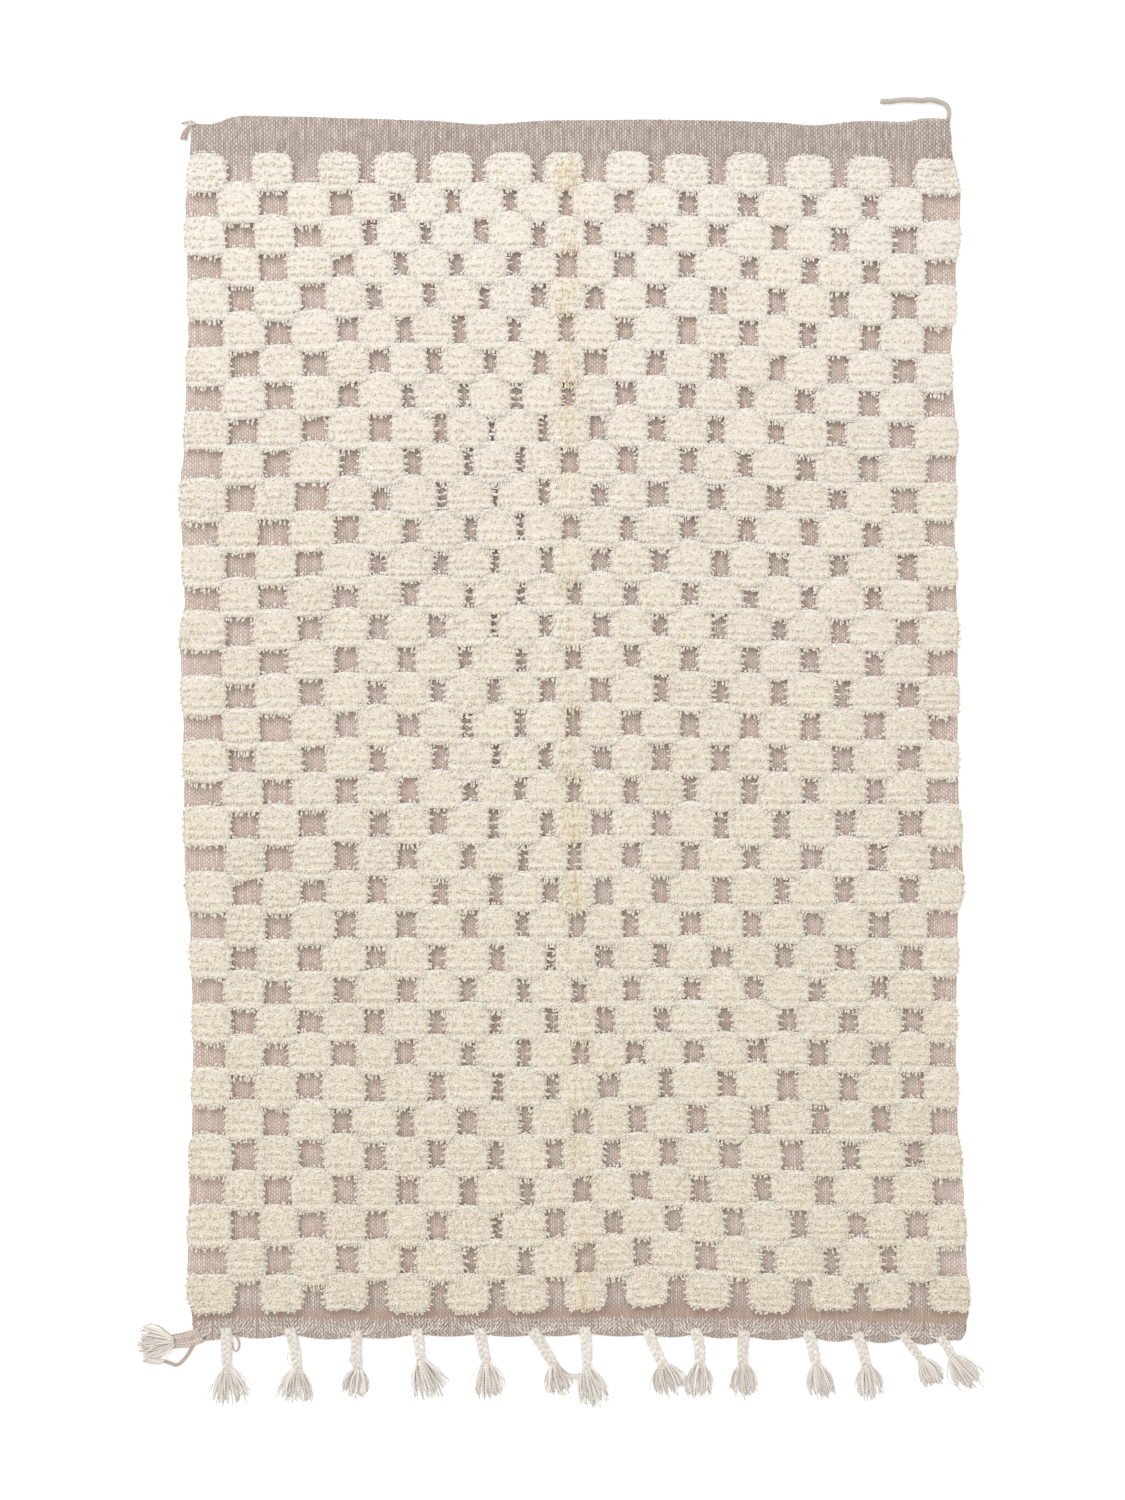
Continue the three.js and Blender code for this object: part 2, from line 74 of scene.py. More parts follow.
# %% [markdown]
# ## The camera and the light
#
# The photograph looks straight down from far away, so its edges run almost parallel. A camera six metres up
# with a long lens does the same. The light is a large soft panel past the head end and to the left, which
# leaves a thin shade at the top and left of each bare window, and a pale world fills in the rest.

# %% Camera and light
PHOTO_SIZE = (1125, 1500)
MM_PER_PIXEL = 2.078
HEM_MIDDLE_PIXEL = (572, 1338)
CAMERA_HEIGHT = 6.0
SENSOR_MM = 24.0
VIEW_END = 50
KEY_PANEL = {"place": (-4.6, 7.4, 7.4), "size": 4.4, "power": 430}
SKY = {"Color": (1.0, 0.995, 0.985, 1), "Strength": 0.95}

photo_x = (PHOTO_SIZE[0] / 2 - HEM_MIDDLE_PIXEL[0]) * MM_PER_PIXEL
photo_y = (HEM_MIDDLE_PIXEL[1] - PHOTO_SIZE[1] / 2) * MM_PER_PIXEL
aim = to_frame((photo_x, photo_y, 0))
bpy.ops.object.camera_add(location=(aim[0], aim[1], CAMERA_HEIGHT), rotation=(0, 0, 0))
camera = bpy.context.object
camera.data.sensor_fit = "VERTICAL"
camera.data.sensor_height = SENSOR_MM
camera.data.lens = SENSOR_MM * CAMERA_HEIGHT / (PHOTO_SIZE[1] * MM_PER_PIXEL * MM)
camera.data.clip_end = VIEW_END

bpy.ops.object.light_add(type="AREA", location=KEY_PANEL["place"])
lamp = bpy.context.object
lamp.name = "key_panel"
lamp.data.size = KEY_PANEL["size"]
lamp.data.energy = KEY_PANEL["power"]
towards = Vector((aim[0], aim[1], 0)) - lamp.location
lamp.rotation_euler = towards.to_track_quat("-Z", "Y").to_euler()

world = bpy.data.worlds.new("studio")
world.use_nodes = True
for label, value in SKY.items():
    world.node_tree.nodes["Background"].inputs[label].default_value = value

scene = bpy.context.scene
scene.camera = camera
scene.world = world
scene.view_settings.view_transform = "Standard"
scene.view_settings.look = "None"
scene.view_settings.exposure = 0
scene.view_settings.gamma = 1
print("lens in mm", round(camera.data.lens, 2))

# %% [markdown]
# ## Shader maths as plain expressions
#
# A weave is arithmetic: which thread lies on top, how far a point is from its middle. `Socket` wraps one
# output of a node, so that `a * b + 1` adds the Math nodes for it. `Shader` adds any other node by its type,
# sets its settings first and then its inputs.


# %% A small class for sockets and one for materials
class Socket:
    """One output of a node, whose operators add Math nodes."""

    def __init__(self, shader, output):
        self.shader = shader
        self.output = output

    def math(self, operation, *others):
        inputs = dict(enumerate([self, *others]))
        return self.shader.node("ShaderNodeMath", {"operation": operation}, inputs)

    def wave(self):
        """A wave between -1 and 1 that crests at every whole number."""
        return (self * TURN).math("COSINE")

    def __add__(self, other):
        return self.math("ADD", other)

    def __mul__(self, other):
        return self.math("MULTIPLY", other)

    def __sub__(self, other):
        return self.math("SUBTRACT", other)

    def __rsub__(self, other):
        return self.shader.node("ShaderNodeMath", {"operation": "SUBTRACT"}, {0: other, 1: self})

    __radd__ = __add__
    __rmul__ = __mul__


class Shader:
    """A material with a Principled BSDF, built by expressions."""

    def __init__(self, name, **constants):
        self.material = bpy.data.materials.new(name)
        self.material.use_nodes = True
        self.tree = self.material.node_tree
        self.surface = self.tree.nodes["Principled BSDF"]
        for label, value in constants.items():
            self.surface.inputs[label.replace("_", " ")].default_value = value

    def connect(self, value, target):
        if isinstance(value, Socket):
            self.tree.links.new(value.output, target)
        elif isinstance(value, tuple) and len(value) == 3 and target.type == "RGBA":
            target.default_value = (*value, 1)
        else:
            target.default_value = value

    def node(self, kind, settings=None, inputs=None, output=0):
        """Adds a node, with its settings first and its inputs after, and gives one of its outputs."""
        made = self.tree.nodes.new(kind)
        for label, value in (settings or {}).items():
            setattr(made, label, value)
        for label, value in (inputs or {}).items():
            self.connect(value, made.inputs[label])
        return Socket(self, made.outputs[output])

    def feed(self, label, value):
        self.connect(value, self.surface.inputs[label])

    def attribute(self, name):
        return self.node("ShaderNodeAttribute", {"attribute_name": name}, output="Fac")

    def place(self):
        return self.node("ShaderNodeTexCoord", output="Object")

    def split(self, vector):
        made = self.tree.nodes.new("ShaderNodeSeparateXYZ")
        self.connect(vector, made.inputs[0])
        return [Socket(self, made.outputs[n]) for n in range(3)]

    def grain(self, scale, detail=2.0, roughness=0.5):
        """Noise over the object's own space, with one scale or a scale for each axis."""
        place = self.place()
        if isinstance(scale, tuple):
            place = self.node("ShaderNodeMapping", inputs={"Vector": place, "Scale": scale})
            scale = 1.0
        sizes = {"Vector": place, "Scale": scale, "Detail": detail, "Roughness": roughness}
        return self.node("ShaderNodeTexNoise", inputs=sizes)

    def spread(self, value, low, high, to_low=0.0, to_high=1.0):
        """Maps low to high onto a new range, held at its ends."""
        span = {"Value": value, "From Min": low, "From Max": high, "To Min": to_low, "To Max": to_high}
        return self.node("ShaderNodeMapRange", {"clamp": True}, span)

    def within(self, value, low, high, rise, fall):
        """1 between low and high and 0 outside, with a soft rise and fall inside the two."""
        return self.spread(value, low, low + rise) * self.spread(value, high - fall, high, 1.0, 0.0)

    def mix(self, share, low, high):
        """A colour between two others."""
        made = self.tree.nodes.new("ShaderNodeMix")
        made.data_type = "RGBA"
        for label, value in (("Factor_Float", share), ("A_Color", low), ("B_Color", high)):
            self.connect(value, next(socket for socket in made.inputs if socket.identifier == label))
        return Socket(self, next(socket for socket in made.outputs if socket.identifier == "Result_Color"))

    def layered(self, color, *layers):
        """A colour with others laid over it in turn, each by its own share."""
        for share, over in layers:
            color = self.mix(share, color, over)
        return color

    def tint(self, color, amount):
        """A colour made lighter or darker by a number."""
        grey = self.node("ShaderNodeCombineXYZ", inputs={n: amount for n in range(3)})
        return self.node("ShaderNodeVectorMath", {"operation": "MULTIPLY"}, {0: color, 1: grey})

    def bump(self, height, distance, strength):
        sizes = {"Height": height, "Distance": distance, "Strength": strength}
        return self.node("ShaderNodeBump", inputs=sizes)


def srgb(red, green, blue):
    """A colour given as it looks on screen, 0 to 255, as the linear values that a shader takes."""
    return tuple(((c / 255 + 0.055) / 1.055) ** 2.4 for c in (red, green, blue))


print("shader tools ready")

# %% [markdown]
# The floor is plain and pale. It gives off a little light of its own, so that the shade around the rug fades
# to white as it does on a paper sweep. It lies a hair below the rug, which would flicker on it otherwise.

# %% The floor
FLOOR_SIZE = 14
FLOOR_DROP = 0.0003
PAPER_COLOR = (*srgb(252, 252, 252), 1)
PAPER_GLOW = {"Emission_Color": (1, 1, 1, 1), "Emission_Strength": 0.2}

bpy.ops.mesh.primitive_plane_add(size=FLOOR_SIZE, location=(aim[0], aim[1], -FLOOR_DROP))
floor = bpy.context.object
floor.name = "paper_floor"
paper = Shader("paper", Base_Color=PAPER_COLOR, Roughness=1.0, Specular_IOR_Level=0.0, **PAPER_GLOW)
floor.data.materials.append(paper.material)
print("floor laid")

# %% [markdown]
# ## Yarn as tubes
#
# Braids, frayed ends, stitches and loops are all yarn, which is a round tube along a bent line. One function
# skins many such lines at once. It closes both ends of each tube, and its UV map counts turns around the
# yarn and centimetres along it, so that the material can twist the fibres.


# %% Functions for meshes and for lines
def read_points(piece):
    points = np.zeros(len(piece.data.vertices) * 3)
    piece.data.vertices.foreach_get("co", points)
    return points.reshape(-1, 3)


def write_points(piece, points):
    piece.data.vertices.foreach_set("co", points.ravel())
    piece.data.update()


def mesh_object(name, points, faces, attributes):
    """An object from points in the weaver's millimetres, with numbers on its points."""
    mesh = bpy.data.meshes.new(name)
    mesh.from_pydata(to_frame(points), [], faces)
    for label, values in attributes.items():
        layer = mesh.attributes.new(label, "FLOAT", "POINT")
        layer.data.foreach_set("value", np.asarray(values, np.float32))
    mesh.update()
    mesh.shade_smooth()
    made = bpy.data.objects.new(name, mesh)
    bpy.context.scene.collection.objects.link(made)
    return made


def repeated_faces(faces, copies, stride):
    """The faces of many copies of one small mesh."""
    return [[corner + copy * stride for corner in face] for copy in range(copies) for face in faces]


def finish(piece, material, slot, *nodes):
    """Gives a piece its material and its place in the part."""
    piece.data.materials.append(material)
    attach(piece, "root")
    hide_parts(*nodes)
    return piece


def smooth_route(points, per_span):
    """Points along a rounded line through the given ones."""
    points = np.array([points[0], *points, points[-1]], float)
    places = []
    for n in range(1, len(points) - 2):
        before, here, after, beyond = points[n - 1 : n + 3]
        bend = 2 * before - 5 * here + 4 * after - beyond
        swing = 3 * here - before - 3 * after + beyond
        for share in np.arange(per_span) / per_span:
            places.append(0.5 * (2 * here + (after - before) * share + bend * share**2 + swing * share**3))
    return np.array([*places, points[-2]])


def distance_along(line):
    """How far each point of a line is from its start."""
    return np.concatenate([[0], np.cumsum(np.linalg.norm(np.diff(line, axis=0), axis=1))])


def even_line(points, steps):
    """A rounded line through the given points, in a number of equal steps."""
    route = smooth_route(points, 8)
    gone = distance_along(route)
    places = np.linspace(0, gone[-1], steps)
    return np.stack([np.interp(places, gone, route[:, n]) for n in range(3)], 1)


def left_of(run):
    """The direction to the left of one or many runs across the floor, one long."""
    left = np.stack([-run[..., 1], run[..., 0]], -1)
    return left / np.linalg.norm(left, axis=-1, keepdims=True)


print("line tools ready")

# %% A function that skins many lines
UP = (0.0, 0.0, 1.0)
TINY = 1e-9
MM_IN_CM = 10


def yarn_mesh(name, lines, girths, sides, tones):
    """Tubes along lines, an array of (tube, step, xyz). Girths are radii, of steps or of rings' points."""
    lines = np.asarray(lines, float)
    count, steps, _ = lines.shape
    girths = np.asarray(girths, float).reshape(count, steps, -1, 1)
    heading = np.gradient(lines, axis=1)
    heading /= np.linalg.norm(heading, axis=2, keepdims=True) + TINY
    side = np.cross(heading, UP)
    side /= np.linalg.norm(side, axis=2, keepdims=True) + TINY
    lift = np.cross(side, heading)
    angle = (np.arange(sides) / sides * TURN)[:, None]
    ring = np.cos(angle) * side[:, :, None] + np.sin(angle) * lift[:, :, None]
    points = lines[:, :, None] + girths * ring

    stride = steps * sides
    travelled = np.stack([distance_along(line) for line in lines]) / MM_IN_CM
    quads = [(step, turn) for step in range(steps - 1) for turn in range(sides)]
    faces = []
    uv = np.zeros((count, len(quads) * 4 + 2 * sides, 2))
    for n, (step, turn) in enumerate(quads):
        low = step * sides
        following = low + (turn + 1) % sides
        faces.append([low + turn, following, following + sides, low + turn + sides])
        uv[:, 4 * n : 4 * n + 4, 0] = np.array([turn, turn + 1, turn + 1, turn]) / sides
        uv[:, 4 * n : 4 * n + 4, 1] = travelled[:, [step, step, step + 1, step + 1]]
    faces.append(list(range(sides))[::-1])
    faces.append(list(range(stride - sides, stride)))
    uv[:, -sides:, 1] = travelled[:, -1, None]

    every_face = repeated_faces(faces, count, stride)
    made = mesh_object(name, points.reshape(-1, 3), every_face, {"tone": np.repeat(tones, stride)})
    layer = made.data.uv_layers.new(name="yarn")
    layer.data.foreach_set("uv", uv.ravel().astype(np.float32))
    return made


print("yarn tools ready")

# %% [markdown]
# The yarns are hand-spun wool of two plies, ivory or mauve, and differ in colour and in how tightly they are
# twisted. One function makes them all: the UV map winds the plies around the yarn, noise adds the fuzz, and a
# number on each strand gives it a shade of its own.

# %% The yarns
FUZZ_SCALE = 500.0
YARN_PLIES = 2


def yarn_material(name, light, dark, twist, contrast=0.16):
    """Twisted yarn: fibres wind around it, and each length has its own shade."""
    made = Shader(name, Roughness=0.93, Specular_IOR_Level=0.12, Sheen_Weight=0.2)
    around, along_yarn, _ = made.split(made.node("ShaderNodeUVMap", {"uv_map": "yarn"}))
    ply = (around * YARN_PLIES + along_yarn * twist).wave()
    fuzz = made.grain(FUZZ_SCALE)
    color = made.mix(made.attribute("tone"), dark, light)
    # Painted shade: the yarn's colour is darkened in the grooves between its plies and varied with the fuzz.
    groove_shade_and_fuzz = made.spread(ply + fuzz * 0.8, -0.9, 1.2, 1 - contrast, 1.04)
    made.feed("Base Color", made.tint(color, groove_shade_and_fuzz))
    made.feed("Normal", made.bump(ply * 0.6 + fuzz, 0.0006, 0.6))
    return made.material


warp_yarn = yarn_material("warp_yarn", srgb(243, 238, 232), srgb(214, 205, 195), 1.6, 0.1)
plait_yarn = yarn_material("plait_yarn", srgb(234, 228, 221), srgb(214, 206, 198), 0.7, 0.1)
stitch_yarn = yarn_material("stitch_yarn", srgb(241, 234, 226), srgb(211, 198, 187), 1.2, 0.08)
mauve_yarn = yarn_material("mauve_yarn", srgb(226, 215, 207), srgb(190, 173, 162), 1.5)
knot_yarn = yarn_material("knot_yarn", srgb(226, 214, 204), srgb(178, 158, 148), 1.5)
tail_yarn = yarn_material("tail_yarn", srgb(208, 201, 192), srgb(178, 169, 160), 1.3)
print("yarns ready")

# %% [markdown]
# ## The cord at the corner
#
# A tail of thick yarn is left at the plain end's right corner: it leaves the edge, turns left at once and
# lies along the end on the floor. It is a free cord, so its route is the one that the solid follows. It is
# one closed tube whose section has three lobes that turn as it runs, which is how plied yarn looks.

# %% The loose cord
CORD = {"radius": 6.2, "twist": 34.0, "sides": 18, "lobes": 3, "lobe_depth": 0.09, "tone": 0.35}
CORD_NECK = {"thinner": 0.22, "length": 60}
CORD_ROUTE = [
    (781, 2533),
    (782, 2538),
    (783, 2544),
    (782.5, 2550),
    (780, 2556),
    (775, 2561.5),
    (768.5, 2565.5),
    (761, 2568.5),
    (750, 2571),
    (738, 2571.5),
    (724, 2570.5),
    (708, 2571),
    (693, 2572),
    (675, 2570),
    (657, 2568.5),
    (640, 2568),
]

route = smooth_route([(x, y, CORD["radius"]) for x, y in CORD_ROUTE], 6)
gone = distance_along(route)
twisted = CORD["lobes"] * np.arange(CORD["sides"]) / CORD["sides"] + gone[:, None] / CORD["twist"]
lobes = 1 - CORD["lobe_depth"] * (1 - np.cos(twisted * TURN))
neck = 1 - CORD_NECK["thinner"] * (1 - np.clip(gone / CORD_NECK["length"], 0, 1))
cord_girths = CORD["radius"] * lobes * neck[:, None]
cord = yarn_mesh("corner_yarn_tail", [route], cord_girths, CORD["sides"], [CORD["tone"]])
finish(cord, tail_yarn, "warp_yarn", "corner_cord")

# %% [markdown]
# ## The plan of the checker
#
# The weaver counts rows from the plain head and columns from the left. Nothing is quite straight: columns
# crowd together left of the middle, rows sag to the right, and both selvedges swing in and out. Short tables
# hold the places where these lines turn, and the rest is read between them.

# %% Tables of the rug's lines
ROWS = 35
COLUMNS = 25
SELVEDGE_MARGIN = 8
FIRST_LINE = 2464
LAST_LINE = 53
FOLD_COLUMN = 12

ROW_LINES = {
    "row": [0, 4, 8, 12, 16, 20, 24, 28, 32, 34],
    "along": [2423, 2163, 1891, 1610, 1342, 1070, 790, 526, 236, 92],
}
COLUMN_LINES = {
    "column": [0, 4, 8, 12, 16, 20, 23, 24],
    "head": [-771, -484, -247, -8, 237, 490, 677, 771],
    "middle": [-773, -474, -214, -2, 243, 490, 694, 771],
    "hem": [-754, -478, -218, 19, 260, 515, 702, 781],
}
COLUMN_PLACES = {"head": 2300, "middle": 1206, "hem": 300}
LEFT_EDGE = {
    "along": [21, 116, 349, 453, 619, 848, 993, 1263, 1450, 1534, 1762, 1866, 2115, 2344, 2481, 2535],
    "across": [-791, -802, -798, -792, -790, -796, -808, -810, -817, -808, -817, -808, -800, -806, -796, -790],
}
RIGHT_EDGE = {
    "along": [21, 58, 287, 453, 619, 858, 952, 1201, 1450, 1679, 1866, 2032, 2199, 2365, 2481, 2535],
    "across": [821, 827, 817, 804, 800, 804, 815, 804, 804, 798, 802, 790, 800, 810, 792, 788],
}
HEAD_EDGE = {
    "across": [-794, -754, -690, -565, -436, -303, -187, -37, 162, 308, 422, 499, 605, 690, 740, 790],
    "along": [2523, 2521, 2539, 2537, 2533, 2529, 2521, 2529, 2531, 2529, 2525, 2519, 2528, 2526, 2534, 2531],
}
print("cells", ROWS, "by", COLUMNS)


# %% Functions that read the lines
def bell(distance, reach):
    return np.exp(-((np.asarray(distance) / reach) ** 2))


def smooth_step(value, low, high):
    share = np.clip((np.asarray(value) - low) / (high - low), 0, 1)
    return share * share * (3 - 2 * share)


def read_table(table, key, column, at, eased=False):
    """A column's value between the table's rows. Eased, each row is a place where the line turns."""
    places = np.array(table[key], float)
    values = np.array(table[column], float)
    at = np.asarray(at, float)
    index = np.clip(np.searchsorted(places, at, side="right") - 1, 0, len(places) - 2)
    share = (at - places[index]) / (places[index + 1] - places[index])
    if eased:
        share = smooth_step(share, 0, 1)
    return values[index] + (values[index + 1] - values[index]) * share


def left_edge(along):
    return read_table(LEFT_EDGE, "along", "across", along, eased=True)


def right_edge(along):
    return read_table(RIGHT_EDGE, "along", "across", along, eased=True)


def head_edge(across):
    return read_table(HEAD_EDGE, "across", "along", across, eased=True)


def column_middle(column, along):
    """The middle line of a column, straight from the rug's middle towards each end."""
    at = {place: read_table(COLUMN_LINES, "column", place, column) for place in COLUMN_PLACES}
    from_middle = np.asarray(along, float) - COLUMN_PLACES["middle"]
    to_head, to_hem = (
        at["middle"] + (at[end] - at["middle"]) * from_middle / (COLUMN_PLACES[end] - COLUMN_PLACES["middle"])
        for end in ("head", "hem")
    )
    return np.where(from_middle > 0, to_head, to_hem)


def row_line(number):
    """Where the line between two rows lies, from 0 at the head to ROWS at the hem."""
    every = np.arange(ROWS + 1)
    before = read_table(ROW_LINES, "row", "along", every - 1)
    lines = (before + read_table(ROW_LINES, "row", "along", every)) / 2
    lines[0] = FIRST_LINE
    lines[ROWS] = LAST_LINE
    return np.interp(number, every, lines)


def column_line(number, along):
    """Where the line between two columns lies, from 0 at the left to COLUMNS at the right."""

    def whole(line):
        between = (column_middle(line - 1, along) + column_middle(line, along)) / 2
        between = np.where(line <= 0, left_edge(along) + SELVEDGE_MARGIN, between)
        return np.where(line >= COLUMNS, right_edge(along) - SELVEDGE_MARGIN, between)

    number = np.asarray(number, float)
    lower = np.clip(np.floor(number), 0, COLUMNS - 1)
    return whole(lower) + (whole(lower + 1) - whole(lower)) * (number - lower)


print("first lines in mm", np.round(row_line([0, 1, 2])))

# %% [markdown]
# Over these straight lines lie softer faults of the weaving. In some places the checker swings aside or
# along, all of it lies a little to the right, and the rows sag towards the selvedges and rise near the hem.
# Each fault is a smooth hump, so a short table of its places, its reach and its depth describes it well.

# %% Swings and sags, and the plan as one function
DRIFT = 2.5
SWINGS = {
    "column": [3.5, 7.5, 2.0, 13.2, 20.0, 15.5, 20.0, 5.0, 15.0, 17.0, 6.5],
    "row": [6.5, 10.5, 20.5, 4.5, 9.0, 25.0, 34.5, 34.0, 15.5, 26.5, 11.0],
    "wide": [4.0, 3.0, 3.5, 1.8, 3.5, 2.0, 5.0, 3.0, 7.0, 4.0, 3.0],
    "tall": [4.0, 3.5, 6.0, 5.0, 3.0, 4.0, 3.0, 3.0, 4.0, 2.5, 3.0],
    "across": [19, 20, 13, -13, -9, -9, 18, 10, 0, 0, 0],
    "along": [0, 0, 0, 0, 0, 0, 0, 0, 5, 6, -5],
}
SAGS = {
    "side": [1, 1, -1],
    "starts": [60, 60, 350],
    "full": [700, 700, 780],
    "depth": [22, 7, 10],
    "along": [2060, 1400, 1700],
    "reach": [420, 300, 800],
}
HEM_RISE = {"height": 16, "across": 190, "wide": 150, "along": 140, "reach": 220}


def swings(column, row):
    """How far the checker swings aside and along near some of its blocks, in millimetres."""
    across, along = 0.0, 0.0
    for at_column, at_row, wide, tall, to_side, to_head in zip(*SWINGS.values()):
        near = bell(column - at_column, wide) * bell(row - at_row, tall)
        across = across + to_side * near
        along = along + to_head * near
    inside = smooth_step(column, 0, 1) * smooth_step(COLUMNS - column, 0, 1)
    return (across + DRIFT) * inside, along


def row_sag(across, along):
    """How the rows sag to the right and left and rise near the hem."""
    across = np.asarray(across)
    sag = 0.0
    for side, starts, full, depth, at, reach in zip(*SAGS.values()):
        sag = sag - depth * smooth_step(side * across, starts, full) * bell(along - at, reach)
    rise = HEM_RISE["height"] * bell(across - HEM_RISE["across"], HEM_RISE["wide"])
    return sag + rise * bell(along - HEM_RISE["along"], HEM_RISE["reach"])


def on_plan(column, row):
    """The place of a point given in columns and rows, as x and y in millimetres."""
    line = row_line(row)
    to_side, to_head = swings(np.asarray(column, float), np.asarray(row, float))
    across = column_line(column, line) + to_side
    return across, line + row_sag(across, line) + to_head


print("cells", ROWS * COLUMNS, "of which pile", (ROWS * COLUMNS + 1) // 2)

# %% [markdown]
# The rug was stored folded lengthwise, and the fold still stands a little along the middle column. The hem
# is scalloped: each braid draws the cloth in at its root, and between two braids it bulges, here more and
# there less. The first braid starts at the very corner, and the cloth left of it hardly bulges at all.

# %% The fold and the hem
RIDGE = {"height": 4, "reach": 38, "fade": 900, "middle": 1300, "least": 0.35}
SCALLOP = {"bulge": 9, "uneven": 0.4, "pace": 0.42343, "start": 2.26092, "corner": 4}
BRAIDS = {
    "root_x": [-774, -717, -584, -447, -322, -191, -77, 27, 160, 258, 357, 492, 594, 690, 767],
    "root_y": [2, 10, 10, 4, 10, 10, 8, 12, 8, 10, 6, 6, 2, 2, -4],
    "fray_x": [-835, -715, -569, -443, -314, -175, -32, 31, 193, 266, 355, 509, 613, 733, 793],
    "fray_y": [-7, -69, -69, -71, -52, -58, -62, -67, -58, -58, -62, -62, -62, -50, -46],
    "tip_x": [-896, -702, -574, -451, -285, -172, -24, 52, 208, 262, 361, 524, 622, 756, 836],
    "tip_y": [-13, -131, -129, -119, -121, -121, -114, -135, -112, -121, -116, -120, -123, -94, -98],
    "spread": [66, 70, 74, 44, 60, 58, 48, 56, 56, 46, 44, 46, 46, 42, 48],
}
BRAID_COUNT = len(BRAIDS["root_x"])


def fold_line(along):
    return column_middle(FOLD_COLUMN, along)


def fold_lift(across, along):
    """How high the old fold lifts the cloth."""
    share = RIDGE["least"] + (1 - RIDGE["least"]) * bell(along - RIDGE["middle"], RIDGE["fade"])
    return RIDGE["height"] * share * bell(across - fold_line(along), RIDGE["reach"])


def root_line(across):
    """The line of the braids' roots, where the warp ends leave the cloth."""
    return np.interp(across, BRAIDS["root_x"], BRAIDS["root_y"])


def hem_edge(across):
    """The cloth's edge, which bulges past the root line between braids."""
    roots = np.array(BRAIDS["root_x"], float)
    across = np.asarray(across, float)
    index = np.clip(np.searchsorted(roots, across) - 1, 0, BRAID_COUNT - 2)
    share = np.clip((across - roots[index]) / (roots[index + 1] - roots[index]), 0, 1)
    uneven = 1 + SCALLOP["uneven"] * np.sin(SCALLOP["pace"] * index + SCALLOP["start"])
    bulge = SCALLOP["bulge"] * np.sin(np.pi * share) * uneven
    return root_line(across) - np.where(across < roots[0], SCALLOP["corner"], bulge)


print("braids", BRAID_COUNT)

# %% [markdown]
# ## The cloth
#
# One sheet of plain weave carries everything. It starts as a grid whose lines follow the checker, so that
# its UV map can count columns and rows: the material then gives each cell its weave, its dye or its knots.
# The hem's corners are drawn in by the outer braids.

# %% The cloth as a grid
CLOTH = 4.5
CELL_STEPS = 3
HEAD_STEPS = 5
HEM_STEPS = 6
EDGE_INSET = 4
CORNER_REACH = 30
CORNER_DRAW = {"left": 12, "right": -14}
EDGE_DRAW = {"left": 6, "right": -10}
SELVEDGE_UV = 0.15
BAND_UV = 0.9
across_steps = COLUMNS * CELL_STEPS + 2
along_steps = HEAD_STEPS + ROWS * CELL_STEPS + HEM_STEPS

bpy.ops.object.select_all(action="DESELECT")
bpy.ops.mesh.primitive_grid_add(x_subdivisions=across_steps, y_subdivisions=along_steps, size=1)
cloth = bpy.context.object
cloth.name = "ground_cloth"
grid = read_points(cloth)
grid_i = np.rint((grid[:, 0] + 0.5) * across_steps)
grid_j = np.rint((0.5 - grid[:, 1]) * along_steps)
at_left = grid_i == 0
at_right = grid_i == across_steps

cell_column = np.clip((grid_i - 1) / CELL_STEPS, 0, COLUMNS)
cell_row = np.clip((grid_j - HEAD_STEPS) / CELL_STEPS, 0, ROWS)
head_share = np.clip(1 - grid_j / HEAD_STEPS, 0, 1)
hem_share = np.clip((grid_j - HEAD_STEPS - ROWS * CELL_STEPS) / HEM_STEPS, 0, 1)
near_edge = hem_share**6

plan_x, plan_y = on_plan(cell_column, cell_row)
plan_y = plan_y + (head_edge(plan_x) - plan_y) * head_share
drawn_left = CORNER_DRAW["left"] * bell(plan_x - left_edge(SEAM), CORNER_REACH)
drawn_right = CORNER_DRAW["right"] * bell(plan_x - right_edge(SEAM), CORNER_REACH)
plan_x = plan_x + near_edge * (drawn_left + drawn_right)
plan_y = plan_y + (hem_edge(plan_x) - plan_y) * hem_share
plan_x = np.where(at_left, left_edge(plan_y) + EDGE_INSET + EDGE_DRAW["left"] * near_edge, plan_x)
plan_x = np.where(at_right, right_edge(plan_y) - EDGE_INSET + EDGE_DRAW["right"] * near_edge, plan_x)
fold_height = fold_lift(plan_x, plan_y)
write_points(cloth, to_frame(np.stack([plan_x, plan_y, CLOTH + fold_height], 1)))

uv_column = np.where(at_left, -SELVEDGE_UV, np.where(at_right, COLUMNS + SELVEDGE_UV, cell_column))
uv_row = cell_row + (hem_share - head_share) * BAND_UV
loop_points = np.zeros(len(cloth.data.loops), int)
cloth.data.loops.foreach_get("vertex_index", loop_points)
cell_uv = np.stack([uv_column, uv_row], 1)[loop_points]
cloth.data.uv_layers[0].data.foreach_set("uv", cell_uv.ravel())
cloth.data.uv_layers[0].name = "cells"
print("cloth grid", across_steps, "by", along_steps)

# %% [markdown]
# Solidify gives the cloth its thickness by copying the upper side downwards, which would leave the copy
# uneven on the floor. So the underside is set afterwards: flat, but for the fold, which it follows.

# %% Thickness, a flat underside and a rounded edge
UNDER_FOLD = 0.9
FLAT_BELOW = 0.25
SHARP_ANGLE = 50

bpy.context.view_layer.objects.active = cloth
thicken = cloth.modifiers.new("thickness", "SOLIDIFY")
thicken.thickness = CLOTH * MM
thicken.offset = -1
thicken.use_even_offset = False
bpy.ops.object.modifier_apply(modifier="thickness")
both_sides = read_points(cloth)
under_z = np.where(fold_height < FLAT_BELOW, 0, UNDER_FOLD * fold_height)
both_sides[len(grid) :] = to_frame(np.stack([plan_x, plan_y, under_z], 1))
write_points(cloth, both_sides)
cloth.data.shade_smooth()
bpy.ops.object.shade_smooth_by_angle(angle=np.radians(SHARP_ANGLE))
print("cloth faces", len(cloth.data.polygons))

